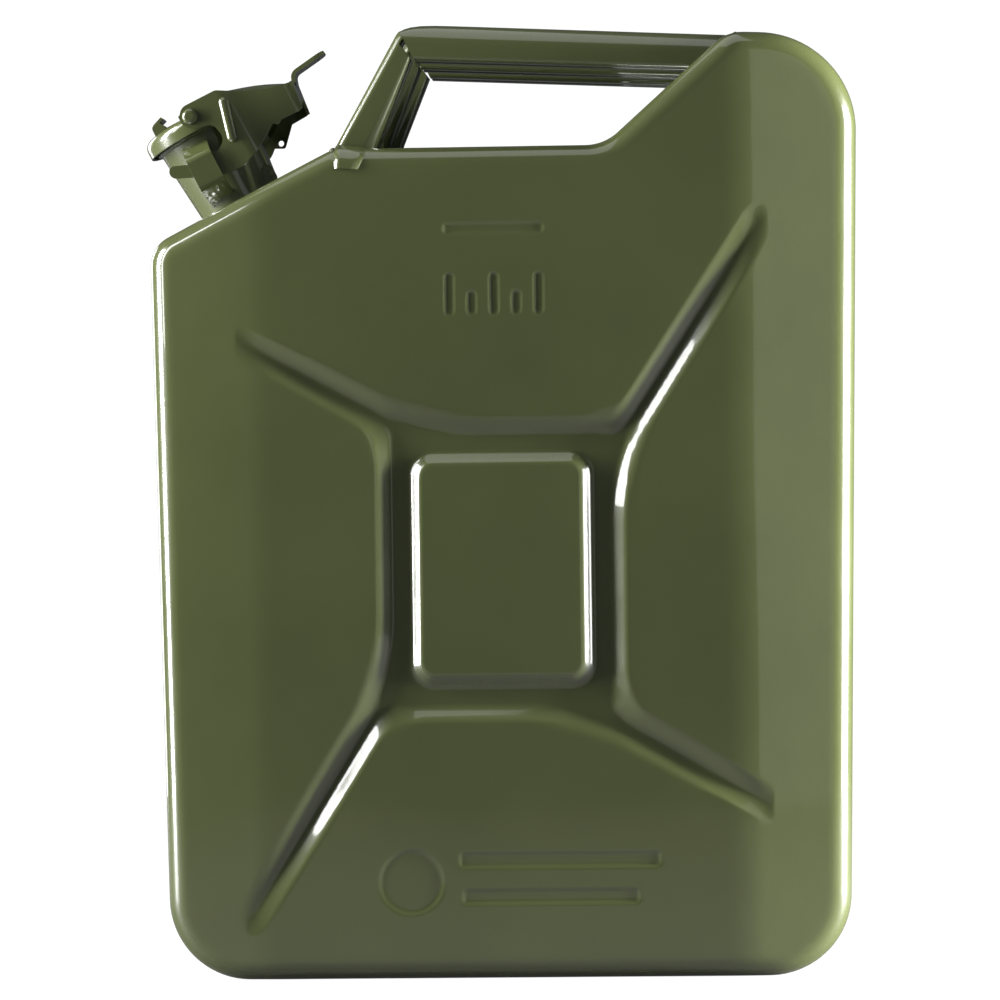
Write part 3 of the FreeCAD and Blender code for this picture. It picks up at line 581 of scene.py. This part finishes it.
def handle(name, centre):
    """A handle folded from one sheet: open strut, a bend with a gap at each side, rolled grip."""
    side = 0 if centre == 0 else (1 if centre > 0 else -1)
    rows, inner_rows, kinds = [], [], []
    for kind, outer, inner, round_out, round_in, slot, outside in handle_stations():
        span = inner - outer
        depth = float(np.hypot(*span))
        reach = [outside if side == s else HANDLE_HALF for s in (-1, 1)]
        section = handle_section(depth, reach[0], reach[1], round_out, round_in, slot)
        inside = section_inside(section, HANDLE_SHEET)
        for store, profile in ((rows, section), (inner_rows, inside)):
            place = outer + np.outer(profile[:, 1], span / depth)
            store.append(np.stack([place[:, 0], centre + profile[:, 0], place[:, 1]], 1))
        kinds.append(kind)
    count = len(rows[0])
    last = kinds.index("grip") - 1
    middle = count // 2
    low, high = middle - BEND_REACH, middle + BEND_REACH
    strut_way = np.array(STRUT_TOP[0]) - STRUT_FOOT[0]
    grip_way = np.array(GRIP_START[0]) - GRIP_END[0]
    ways = np.array([[strut_way[0], -grip_way[0]], [strut_way[1], -grip_way[1]]])

    def bend_rows(store):
        found = []
        first, second = store[last], store[last + 1]
        for k in range(1, BEND_STEPS):
            t = k / BEND_STEPS
            row = []
            for i in range(low, high + 1):
                a, b = first[i], second[i]
                gap = np.array([b[0] - a[0], b[2] - a[2]])
                s = float(np.clip(np.linalg.solve(ways, gap)[0], 0.0, 0.15))
                x, z = a[0] + strut_way[0] * s, a[2] + strut_way[1] * s
                corner = np.array([x, (a[1] + b[1]) / 2, z])
                row.append((1 - t) ** 2 * a + 2 * t * (1 - t) * corner + t * t * b)
            found.append(row)
        return found

    vertices = [p for row in rows for p in row]
    inner_vertices = [p for row in inner_rows for p in row]
    index = [[r * count + i for i in range(count)] for r in range(len(rows))]
    quads = []
    for r in range(len(rows) - 1):
        if r == last:
            continue
        for i in range(count - 1):
            quads.append((index[r][i], index[r][i + 1], index[r + 1][i + 1], index[r + 1][i]))
    strip = [[index[last][i] for i in range(low, high + 1)]]
    for row, inside in zip(bend_rows(rows), bend_rows(inner_rows)):
        start = len(vertices)
        vertices += row
        inner_vertices += inside
        strip.append(list(range(start, start + len(row))))
    strip.append([index[last + 1][i] for i in range(low, high + 1)])
    for upper, lower in zip(strip, strip[1:]):
        for i in range(high - low):
            quads.append((upper[i], upper[i + 1], lower[i + 1], lower[i]))
    faces = sheet_faces(quads, len(vertices))
    obj = make_object(name, vertices + inner_vertices, faces)
    return soften(obj, 0.4, 50.0, 2)


# ---- weld beads ------------------------------------------------------------
SEAM_FLOOR = 6.0            # depth of the seam groove
BEAD_POINTS = 9             # points across a bead
BEAD_ROOT = 0.3             # how deep its edges sit in the sheet
HANDLE_BEADS = (            # x and z, direction it stands in, half length
    ((-83.2, 408.4), (-0.75, 0.0, 0.66), 10.0),
    ((117.2, 462.6), (0.5, 0.0, 0.87), 9.0),
)


def bead_object(name, path, ups, width, height, ripple, closed=False):
    """A weld bead: a low ridge along a path of points, with the ripples of its passes."""
    path = np.asarray(path, float)
    ups = np.asarray(ups, float)
    if closed:
        along = np.roll(path, -1, 0) - np.roll(path, 1, 0)
    else:
        along = np.gradient(path, axis=0)
    along /= np.linalg.norm(along, axis=1, keepdims=True)
    across = np.cross(along, ups)
    across /= np.linalg.norm(across, axis=1, keepdims=True)
    steps = np.linalg.norm(np.roll(path, -1, 0) - path, axis=1)
    distance = np.concatenate([[0.0], np.cumsum(steps)[:-1]])
    rows = []
    for k, point in enumerate(path):
        wave = 1.0 + 0.16 * math.sin(distance[k] * 2 * math.pi / ripple)
        drift = 1.0 + 0.10 * math.sin(distance[k] / 7.3) + 0.07 * math.sin(distance[k] / 3.1 + 1.0)
        taper = 1.0
        if not closed:
            ends = min(distance[k], distance[-1] - distance[k]) / width
            taper = math.sqrt(min(1.0, 0.02 + ends * (2 - min(ends, 1.0))))
        for j in range(BEAD_POINTS):
            a = math.pi * j / (BEAD_POINTS - 1)
            rows.append(point + across[k] * (math.cos(a) * width / 2 * drift * taper)
                        + ups[k] * (math.sin(a) * height * wave * drift * taper - BEAD_ROOT))
    count = len(path)
    faces = []
    for k in range(count if closed else count - 1):
        here, after = k * BEAD_POINTS, (k + 1) % count * BEAD_POINTS
        for j in range(BEAD_POINTS - 1):
            faces.append([here + j, here + j + 1, after + j + 1, after + j])
        faces.append([here + BEAD_POINTS - 1, here, after, after + BEAD_POINTS - 1])
    if not closed:
        faces.append(list(range(BEAD_POINTS)))
        faces.append([(count - 1) * BEAD_POINTS + j for j in reversed(range(BEAD_POINTS))])
    obj = make_object(name, rows, faces)
    face_outwards(obj)
    return obj


def seam_bead():
    """The bead on the floor of the groove, from one side of the neck pad round to the other."""
    points, normals = [], []
    for length, place, _ in outline_runs():
        count = max(2, int(length / 0.9))
        for k in range(count):
            p, n = place(k / count)
            points.append(p)
            normals.append(n)
    points, normals = np.array(points), np.array(normals)
    along = np.array([math.cos(NECK_TILT), math.sin(NECK_TILT)])
    offset = points - np.array(NECK_BASE)
    distance = np.hypot(offset[:, 0], offset[:, 1])
    under_neck = (np.abs(offset @ along) < NECK_PAD + 1) & (distance < NECK_PAD + 2)
    start = int(np.nonzero(under_neck)[0][-1]) + 1
    points, normals = np.roll(points, -start, 0), np.roll(normals, -start, 0)
    keep = len(points) - int(under_neck.sum())
    points, normals = points[:keep], normals[:keep]
    floor = points - normals * SEAM_FLOOR
    path = np.stack([floor[:, 0], np.zeros(keep), floor[:, 1]], 1)
    ups = np.stack([normals[:, 0], np.zeros(keep), normals[:, 1]], 1)
    return bead_object("seam_bead", path, ups, 4.6, 1.5, 2.6)


def neck_point(x, y, z):
    """A point of the neck frame in the can's frame, with its place across the can."""
    px, pz = on_neck(x, z)
    return np.array([px, y, pz])


def neck_direction(x, y, z):
    """A direction of the neck frame in the can's frame."""
    return neck_point(x, y, z) - neck_point(0.0, 0.0, 0.0)


def neck_bead():
    """The fillet weld round the neck's foot."""
    count = 150
    path, ups = [], []
    for k in range(count):
        a = 2 * math.pi * k / count
        r = NECK_RADIUS + 0.9
        path.append(neck_point(r * math.cos(a), r * math.sin(a), 0.5))
        ups.append(neck_direction(math.cos(a) * 0.75, math.sin(a) * 0.75, 0.66))
    return bead_object("neck_bead", path, ups, 5.0, 1.9, 3.1, closed=True)


def handle_beads():
    """Beads at the foot of each strut and at the end of each grip, joined into one piece."""
    beads = []
    for name, centre in HANDLE_CENTRES.items():
        for (x, z), up, reach in HANDLE_BEADS:
            ys = np.linspace(centre - reach, centre + reach, 34)
            path = [(x, y, z) for y in ys]
            beads.append(bead_object("bead", path, [up] * len(path), 3.6, 1.2, 2.7))
    return joined("handle_beads", beads)


# ---- lever -----------------------------------------------------------------
CHEEK_INNER, CHEEK_OUTER = 33.0, 34.6
CHEEK = (                   # side view in the neck frame: x, z and corner radius
    (-7.6, 57.6, 5.5),
    (16.2, 57.4, 4.0),
    (34.0, 47.4, 60.0),
    (51.6, 44.9, 2.0),
    (49.8, 29.9, 2.0),
    (38.5, 29.9, 1.5),
    (36.2, 27.9, 1.0),
    (33.7, 30.2, 1.0),
    (22.0, 21.0, 10.0),
    (11.0, 17.0, 8.0),
    (-1.0, 17.9, 8.0),
    (-24.6, 28.6, 3.4),
    (-21.6, 34.0, 2.4),
    (-8.0, 28.6, 12.0),
    (3.6, 29.9, 0.0),
    (9.6, 33.5, 5.0),
    (7.6, 42.6, 4.0),
    (-4.0, 45.8, 4.0),
)
SEAL_TAB = ((20.0, 27.0, 0.0), (30.6, 21.1, 1.6), (46.0, 36.2, 0.0), (31.0, 34.0, 0.0))
SEAL_HOLE = (29.9, 24.4, 1.5)
WEB_FRONT_X = 18.0
WEB_REAR_X = 51.4
WEB_SHEET = 1.6
WEB_EDGE = (56.4, 44.4)     # height of its edges at front and rear
WEB_DIP = 3.6               # how far the edges dip between them
WEB_CROWN = (57.6, 45.2)    # height of its middle at front and rear
CROWN_RISE = 1.6
CROWN_HALF = 27.0           # half width of the web's crown
NARROWING = 0.40            # share by which the lever is narrower at its rear end
BEND_FROM = 16.0            # the cheeks start to come closer together here
BEND_TO = 52.0
BEND_STEP = 1.5
BACK_X = 50.4               # outer face of the back plate at its lower edge
BACK_LOW = 30.2
BACK_ARCH = 7.0             # how far its lower edge arches up in the middle
BACK_BULGE = 0.35
BACK_LEAN = 0.1
RIB = ((17.4, 50.0), (13.0, 32.6))
RIB_HALF = 2.6
RIB_RISE = 2.1
FINGER_PATH = ((51.2, 43.0, 0.0), (53.2, 49.6, 4.0), (72.2, 52.1, 0.0))
FINGER_HALF = 8.0
FINGER_SHEET = 2.0
FINGER_ROUND = 5.0          # radius of its free corners
FINGER_HOLE = (68.2, 51.6, 1.6)                     # x, z and radius


def corner_points(corners, closed=True, step=8.0):
    """Points of an outline with rounded corners of (x, z, radius)."""
    count = len(corners)
    places = [np.array(c[:2], float) for c in corners]
    found = []
    for i, (x, z, radius) in enumerate(corners):
        if radius <= 0 or (not closed and i in (0, count - 1)):
            found.append(places[i])
            continue
        back = unit(places[i - 1] - places[i])
        ahead = unit(places[(i + 1) % count] - places[i])
        half = math.acos(float(np.clip(np.dot(back, ahead), -1, 1))) / 2
        reach = radius / math.tan(half)
        start, end = places[i] + back * reach, places[i] + ahead * reach
        centre = places[i] + unit(back + ahead) * radius / math.sin(half)
        a0 = math.atan2(*(start - centre)[::-1])
        turn = math.atan2(*(end - centre)[::-1]) - a0
        turn = (turn + math.pi) % (2 * math.pi) - math.pi
        pieces = max(2, int(abs(math.degrees(turn)) / step))
        for k in range(pieces + 1):
            a = a0 + turn * k / pieces
            found.append(centre + radius * np.array([math.cos(a), math.sin(a)]))
    return found


def narrowed(x, y):
    """The lever's cheeks come closer together towards its rear end."""
    t = min(1.0, max(0.0, (x - BEND_FROM) / (BEND_TO - BEND_FROM)))
    return y * (1.0 - NARROWING * t * t * (3 - 2 * t))


def cheek_plate(name, points, low, high, holes=()):
    """A plate bent as the cheeks are, with an outline in x and z, and holes of (x, z, radius)."""
    mesh = bmesh.new()
    loops = [points]
    for hx, hz, radius in holes:
        turns = np.linspace(0, 2 * math.pi, 24, endpoint=False)
        loops.append([(hx + radius * math.cos(a), hz + radius * math.sin(a)) for a in turns])
    edges = []
    for loop in loops:
        ring = [mesh.verts.new((p[0], 0.0, p[1])) for p in loop]
        edges += [mesh.edges.new((ring[k - 1], ring[k])) for k in range(len(ring))]
    bmesh.ops.triangle_fill(mesh, use_beauty=True, use_dissolve=False, edges=edges)
    bmesh.ops.dissolve_limit(mesh, angle_limit=math.radians(0.5), verts=mesh.verts, edges=mesh.edges)
    flat = list(mesh.faces)
    bmesh.ops.solidify(mesh, geom=flat, thickness=high - low)
    for x in np.arange(BEND_FROM, BEND_TO, BEND_STEP):
        everything = list(mesh.verts) + list(mesh.edges) + list(mesh.faces)
        bmesh.ops.bisect_plane(mesh, geom=everything, dist=1e-4, plane_co=(x, 0, 0), plane_no=(1, 0, 0))
    offset = low - min(v.co.y for v in mesh.verts)
    for v in mesh.verts:
        y = narrowed(v.co.x, v.co.y + offset)
        x, _, z = neck_point(v.co.x, 0.0, v.co.z)
        v.co = ((x + SHIFT) * MM, y * MM, z * MM)
    bmesh.ops.recalc_face_normals(mesh, faces=mesh.faces)
    data = bpy.data.meshes.new(name)
    mesh.to_mesh(data)
    mesh.free()
    data.shade_smooth()
    obj = bpy.data.objects.new(name, data)
    bpy.context.scene.collection.objects.link(obj)
    return obj


def sheet_grid(name, rows, inner_rows):
    """A closed sheet from a grid of outer points and one of inner points, in the neck frame."""
    count, columns = len(rows), len(rows[0])
    flat = [neck_point(*p) for row in rows + inner_rows for p in row]
    quads = []
    for r in range(count - 1):
        for i in range(columns - 1):
            a = r * columns + i
            quads.append((a, a + 1, a + columns + 1, a + columns))
    obj = make_object(name, flat, sheet_faces(quads, count * columns))
    face_outwards(obj)
    return obj


def web_edge(x):
    """Height of the cheeks' top edge, on which the web sits."""
    t = (x - WEB_FRONT_X) / (WEB_REAR_X - WEB_FRONT_X)
    return WEB_EDGE[0] + (WEB_EDGE[1] - WEB_EDGE[0]) * t - WEB_DIP * math.sin(math.pi * t) ** 1.3


def lever_web():
    """The crowned sheet between the cheeks."""
    outer, inner = [], []
    for x in np.linspace(WEB_FRONT_X, WEB_REAR_X, 22):
        t = (x - WEB_FRONT_X) / (WEB_REAR_X - WEB_FRONT_X)
        edge = web_edge(x)
        crown = WEB_CROWN[0] + (WEB_CROWN[1] - WEB_CROWN[0]) * t + CROWN_RISE * math.sin(math.pi * t)
        row, under = [], []
        for k in range(33):
            y = CHEEK_OUTER - 0.3
            y = -y + 2 * y * k / 32
            share = 1.0 - min(1.0, abs(y) / CROWN_HALF) ** 2.5
            z = edge - 0.5 + (crown - edge + 0.5) * share
            row.append((x, narrowed(x, y), z))
            under.append((x + 0.1, narrowed(x, y * 0.965), z - WEB_SHEET))
        outer.append(row)
        inner.append(under)
    return sheet_grid("lever_web", outer, inner)


def lever_rib(side):
    """A stiffening rib pressed out of a cheek: a long dome with round ends."""
    start, end = np.array(RIB[0]), np.array(RIB[1])
    way = unit(end - start)
    aside = np.array([-way[1], way[0]])
    length = float(np.hypot(*(end - start)))
    rings, around = 9, 40
    vertices = []
    for r in range(rings):
        angle = math.pi / 2 * r / (rings - 1)
        spread, lift = RIB_HALF * math.cos(angle), RIB_RISE * math.sin(angle) ** 1.3
        for k in range(around):
            a = 2 * math.pi * k / around
            along = spread * math.cos(a) + (length if math.cos(a) > 0 else 0.0)
            p = start + way * along + aside * spread * math.sin(a)
            y = side * narrowed(p[0], CHEEK_OUTER - 0.4 + lift)
            vertices.append(neck_point(p[0], y, p[1]))
    faces = [[r * around + k, r * around + (k + 1) % around,
              (r + 1) * around + (k + 1) % around, (r + 1) * around + k]
             for r in range(rings - 1) for k in range(around)]
    top = (rings - 1) * around
    faces.append([top + k for k in range(around)])
    faces.append([k for k in reversed(range(around))])
    obj = make_object("lever_rib", vertices, faces)
    face_outwards(obj, merge=1e-7)
    return obj


def finger_tab():
    """The flat bar at the lever's rear end, bent back, with a rounded end and a hole."""
    line = corner_points(FINGER_PATH, closed=False, step=6.0)
    dense = [line[0]]
    for p in line[1:]:
        gap = float(np.hypot(*(p - dense[-1])))
        pieces = max(1, int(gap / 1.2))
        base = dense[-1]
        dense += [base + (p - base) * k / pieces for k in range(1, pieces + 1)]
    dense = np.array(dense)
    way = np.gradient(dense, axis=0)
    way /= np.linalg.norm(way, axis=1, keepdims=True)
    normal = np.stack([-way[:, 1], way[:, 0]], 1)
    left = np.concatenate([[0], np.cumsum(np.hypot(*np.diff(dense, axis=0).T))])
    left = left[-1] - left
    outer, inner = [], []
    for p, n, rest in zip(dense, normal, left):
        width = FINGER_HALF
        if rest < FINGER_ROUND:
            rounding = math.sqrt(max(0.0, FINGER_ROUND ** 2 - (FINGER_ROUND - rest) ** 2))
            width = FINGER_HALF - FINGER_ROUND + rounding
        ys = np.linspace(-width, width, 17)
        for store, offset in ((outer, FINGER_SHEET / 2), (inner, -FINGER_SHEET / 2)):
            store.append([(p[0] + n[0] * offset, y, p[1] + n[1] * offset) for y in ys])
    obj = sheet_grid("finger_tab", outer, inner)
    x, z, radius = FINGER_HOLE
    cutter = bmesh.new()
    bmesh.ops.create_cone(cutter, cap_ends=True, segments=32, radius1=radius * MM,
                          radius2=radius * MM, depth=12 * MM)
    place = neck_point(x, 0.0, z)
    turn = Matrix.Rotation(-NECK_TILT, 4, "Y")
    cutter.transform(Matrix.Translation(((place[0] + SHIFT) * MM, 0.0, place[2] * MM)) @ turn)
    data = bpy.data.meshes.new("cutter")
    cutter.to_mesh(data)
    cutter.free()
    tool = bpy.data.objects.new("cutter", data)
    bpy.context.scene.collection.objects.link(tool)
    cut = obj.modifiers.new("hole", "BOOLEAN")
    cut.object = tool
    cut.solver = "EXACT"
    evaluated = obj.evaluated_get(bpy.context.evaluated_depsgraph_get())
    mesh = bpy.data.meshes.new_from_object(evaluated)
    obj.modifiers.clear()
    obj.data = mesh
    bpy.data.objects.remove(tool)
    return obj


def cam_lever():
    """Two hooked cheeks, the crowned web, the back plate and the finger tab."""
    outline = corner_points(CHEEK)
    tab = corner_points(SEAL_TAB)
    parts = [
        cheek_plate("cheek_left", outline, -CHEEK_OUTER, -CHEEK_INNER),
        cheek_plate("cheek_right", outline, CHEEK_INNER, CHEEK_OUTER),
        cheek_plate("seal_tab", tab, CHEEK_INNER + 0.05, CHEEK_OUTER - 0.05, [SEAL_HOLE]),
        lever_web(),
    ]
    rear = (1.0 - NARROWING) * CHEEK_OUTER
    rows, under = [], []
    for k in range(9):
        row, back = [], []
        for y in np.linspace(-rear - 0.25, rear + 0.25, 25):
            arch = 1.0 - min(1.0, abs(y) / rear) ** 2
            z = WEB_CROWN[1] + (BACK_LOW + BACK_ARCH * arch - WEB_CROWN[1]) * k / 8
            x = BACK_X + BACK_LEAN * (z - BACK_LOW) + BACK_BULGE * arch
            row.append((x, y, z))
            back.append((x - WEB_SHEET, y, z))
        rows.append(row)
        under.append(back)
    parts.append(sheet_grid("back_plate", rows, under))
    parts.append(finger_tab())
    lever = joined("hooked_cam_lever", parts)
    return soften(lever, 0.35, 40.0, 2)


def lever_ribs():
    """The pressed ribs of both cheeks."""
    return joined("lever_ribs", [lever_rib(-1), lever_rib(1)])


# ---- materials -------------------------------------------------------------
def new_material(name):
    """A material with one shader: the material, its nodes, its links and the shader."""
    material = bpy.data.materials.new(name)
    material.use_nodes = True
    nodes = material.node_tree.nodes
    nodes.clear()
    output = nodes.new("ShaderNodeOutputMaterial")
    shader = nodes.new("ShaderNodeBsdfPrincipled")
    material.node_tree.links.new(shader.outputs[0], output.inputs[0])
    return material, nodes, material.node_tree.links, shader


def noise_node(nodes, links, place, scale, detail=2.0, rough=0.5):
    """Noise that is fixed to the object; scale is in cells per metre."""
    node = nodes.new("ShaderNodeTexNoise")
    node.inputs["Scale"].default_value = scale
    node.inputs["Detail"].default_value = detail
    node.inputs["Roughness"].default_value = rough
    links.new(place.outputs["Object"], node.inputs["Vector"])
    return node


def ramp_node(nodes, links, source, stops):
    """Colours of (position, colour) picked by a value."""
    node = nodes.new("ShaderNodeValToRGB")
    links.new(source, node.inputs["Fac"])
    elements = node.color_ramp.elements
    while len(elements) < len(stops):
        elements.new(0.5)
    for element, (position, colour) in zip(elements, stops):
        element.position = position
        element.color = (*colour, 1.0)
    return node


def bump_node(nodes, links, height, strength, distance, before=None):
    """Bumps of a height, on top of the bumps that come before."""
    node = nodes.new("ShaderNodeBump")
    node.inputs["Strength"].default_value = strength
    node.inputs["Distance"].default_value = distance
    links.new(height, node.inputs["Height"])
    if before is not None:
        links.new(before.outputs["Normal"], node.inputs["Normal"])
    return node


def enamel():
    """Glossy olive enamel on steel: slight drifts of tone, orange peel and a clear gloss."""
    material, nodes, links, shader = new_material("olive_enamel")
    place = nodes.new("ShaderNodeTexCoord")
    drift = noise_node(nodes, links, place, 9.0, 3.0)
    tone = ramp_node(nodes, links, drift.outputs["Fac"],
                     ((0.3, (0.048, 0.057, 0.020)), (0.7, (0.058, 0.068, 0.024))))
    links.new(tone.outputs["Color"], shader.inputs["Base Color"])
    patches = noise_node(nodes, links, place, 26.0, 4.0, 0.6)
    gloss = ramp_node(nodes, links, patches.outputs["Fac"],
                      ((0.3, (0.20, 0.20, 0.20)), (0.75, (0.27, 0.27, 0.27))))
    links.new(gloss.outputs["Color"], shader.inputs["Roughness"])
    peel = noise_node(nodes, links, place, 420.0, 2.0)
    run = noise_node(nodes, links, place, 60.0, 2.0)
    wide = bump_node(nodes, links, run.outputs["Fac"], 0.12, 0.001)
    fine = bump_node(nodes, links, peel.outputs["Fac"], 0.05, 0.0006, wide)
    links.new(fine.outputs["Normal"], shader.inputs["Normal"])
    shader.inputs["IOR"].default_value = 1.5
    shader.inputs["Coat Weight"].default_value = 1.0
    shader.inputs["Coat IOR"].default_value = 1.7
    shader.inputs["Coat Roughness"].default_value = 0.04
    return material


def steel():
    """Dull zinc-plated steel with fine scratches."""
    material, nodes, links, shader = new_material("dull_zinc_steel")
    place = nodes.new("ShaderNodeTexCoord")
    spangle = noise_node(nodes, links, place, 300.0, 4.0, 0.6)
    tone = ramp_node(nodes, links, spangle.outputs["Fac"],
                     ((0.3, (0.30, 0.30, 0.29)), (0.7, (0.52, 0.51, 0.48))))
    links.new(tone.outputs["Color"], shader.inputs["Base Color"])
    gloss = ramp_node(nodes, links, spangle.outputs["Fac"],
                      ((0.3, (0.30, 0.30, 0.30)), (0.7, (0.48, 0.48, 0.48))))
    links.new(gloss.outputs["Color"], shader.inputs["Roughness"])
    scratch = noise_node(nodes, links, place, 1400.0, 3.0)
    rough = bump_node(nodes, links, scratch.outputs["Fac"], 0.25, 0.0002)
    links.new(rough.outputs["Normal"], shader.inputs["Normal"])
    shader.inputs["Metallic"].default_value = 1.0
    return material


def rubber():
    """Matte black rubber with a fine grain and a little bloom."""
    material, nodes, links, shader = new_material("black_rubber")
    place = nodes.new("ShaderNodeTexCoord")
    bloom = noise_node(nodes, links, place, 120.0, 4.0, 0.6)
    tone = ramp_node(nodes, links, bloom.outputs["Fac"],
                     ((0.35, (0.014, 0.014, 0.014)), (0.75, (0.032, 0.032, 0.030))))
    links.new(tone.outputs["Color"], shader.inputs["Base Color"])
    grain = noise_node(nodes, links, place, 2200.0, 2.0)
    rough = bump_node(nodes, links, grain.outputs["Fac"], 0.3, 0.0002)
    links.new(rough.outputs["Normal"], shader.inputs["Normal"])
    shader.inputs["Roughness"].default_value = 0.68
    return material


MATERIALS = {"olive_paint": enamel(), "bare_steel": steel(), "black_rubber": rubber()}

for part in frame["record"]["subparts"]:
    node = frame["nodes"][part["node"]]
    node.data.materials.clear()
    node.data.materials.append(MATERIALS[part["material_slot"]])


def finish_piece(obj, body, slot, *nodes):
    """Gives a piece its material and the body it rides on, and hides the nodes it stands for."""
    obj.data.materials.append(MATERIALS[slot])
    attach(obj, body)
    if nodes:
        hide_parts(*nodes)
    return obj


# ---- the can ---------------------------------------------------------------
finish_piece(shell("pressed_left_shell", -1), "can", "olive_paint", "left_shell")
finish_piece(shell("pressed_right_shell", 1), "can", "olive_paint", "right_shell")
for node_name, middle in HANDLE_CENTRES.items():
    finish_piece(handle("folded_" + node_name, middle), "can", "olive_paint", node_name)
finish_piece(seam_bead(), "can", "olive_paint", "seam_weld")
finish_piece(neck_bead(), "can", "olive_paint", "neck_weld")
finish_piece(handle_beads(), "can", "olive_paint", "handle_welds")
finish_piece(cam_lever(), "lever", "olive_paint", "cam_lever")
finish_piece(lever_ribs(), "lever", "olive_paint")

for part in frame["record"]["subparts"]:
    node = frame["nodes"][part["node"]]
    if not node.hide_render:
        weld = node.modifiers.new("joined_faces", "WELD")
        weld.merge_threshold = 0.002 * MM
        soften(node, 0.3, 35.0, 2)


# ---- studio ----------------------------------------------------------------
def area_light(name, place, target, size, power):
    """A rectangular light of a size in metres and a power in watts that faces a target."""
    data = bpy.data.lights.new(name, "AREA")
    data.shape = "RECTANGLE"
    data.size, data.size_y = size
    data.energy = power
    light = bpy.data.objects.new(name, data)
    light.location = place
    direction = Vector(target) - Vector(place)
    light.rotation_euler = direction.to_track_quat("-Z", "Y").to_euler()
    bpy.context.scene.collection.objects.link(light)


def studio_floor():
    """A pale floor; the camera sees it evenly lit, as it does the backdrop."""
    bpy.ops.mesh.primitive_circle_add(vertices=128, radius=1.6, fill_type="NGON")
    floor = bpy.context.object
    floor.name = "studio_floor"
    material, nodes, links, shader = new_material("pale_floor")
    shader.inputs["Base Color"].default_value = (0.07, 0.07, 0.069, 1.0)
    shader.inputs["Roughness"].default_value = 0.7
    shader.inputs["Specular IOR Level"].default_value = 0.1
    shader.inputs["Emission Color"].default_value = (1.0, 1.0, 1.0, 1.0)
    path = nodes.new("ShaderNodeLightPath")
    glow = nodes.new("ShaderNodeMapRange")
    links.new(path.outputs["Is Camera Ray"], glow.inputs["Value"])
    glow.inputs["To Min"].default_value = 0.05
    glow.inputs["To Max"].default_value = 0.93
    links.new(glow.outputs["Result"], shader.inputs["Emission Strength"])
    floor.data.materials.append(material)


def studio_world():
    """A white backdrop for the camera; a dim room for the light and what the gloss reflects."""
    world = bpy.data.worlds.new("studio")
    world.use_nodes = True
    nodes, links = world.node_tree.nodes, world.node_tree.links
    nodes.clear()
    output = nodes.new("ShaderNodeOutputWorld")
    mix = nodes.new("ShaderNodeMixShader")
    seen = nodes.new("ShaderNodeBackground")
    seen.inputs["Color"].default_value = (1.0, 1.0, 1.0, 1.0)
    seen.inputs["Strength"].default_value = 1.05
    room = nodes.new("ShaderNodeBackground")
    room.inputs["Color"].default_value = (0.9, 0.95, 1.0, 1.0)
    room.inputs["Strength"].default_value = 0.07
    path = nodes.new("ShaderNodeLightPath")
    links.new(path.outputs["Is Camera Ray"], mix.inputs[0])
    links.new(room.outputs[0], mix.inputs[1])
    links.new(seen.outputs[0], mix.inputs[2])
    links.new(mix.outputs[0], output.inputs[0])
    bpy.context.scene.world = world


def photo_camera():
    """A long lens at the height of the can's middle, a little to its right, turned back to it."""
    data = bpy.data.cameras.new("camera")
    data.sensor_width = 36.0
    data.lens = 205.0
    camera = bpy.data.objects.new("camera", data)
    bpy.context.scene.collection.objects.link(camera)
    camera.location = (0.1624, -2.87, 0.235)
    yaw = math.radians(3.285)
    roll = math.radians(-0.72)
    camera.rotation_euler = (Matrix.Rotation(yaw, 3, "Z") @ Matrix.Rotation(math.pi / 2, 3, "X")
                             @ Matrix.Rotation(roll, 3, "Z")).to_euler()
    data.clip_end = 100.0
    bpy.context.scene.camera = camera


studio_floor()
studio_world()
photo_camera()
area_light("softbox_right", (1.5, -0.095, 0.25), (0.0, -0.08, 0.25), (0.36, 0.95), 310.0)
area_light("softbox_left", (-1.4, -0.27, 0.55), (0.0, -0.08, 0.28), (0.34, 1.2), 92.0)
area_light("strip_right", (1.42, -0.50, 0.28), (0.0, -0.08, 0.25), (0.20, 1.0), 8.0)
area_light("strip_left", (-1.2, -0.72, 0.85), (0.0, 0.0, 0.25), (0.18, 1.1), 6.5)
area_light("softbox_top", (-0.3, -0.15, 1.8), (0.0, -0.05, 0.4), (1.7, 1.1), 5.0)
area_light("softbox_front", (1.0, -2.5, 0.5), (0.0, 0.0, 0.25), (0.55, 1.5), 0.9)
area_light("softbox_back", (-2.0, 2.2, 0.6), (0.0, 0.08, 0.25), (1.0, 1.6), 20.0)
bpy.context.scene.view_settings.view_transform = "Standard"
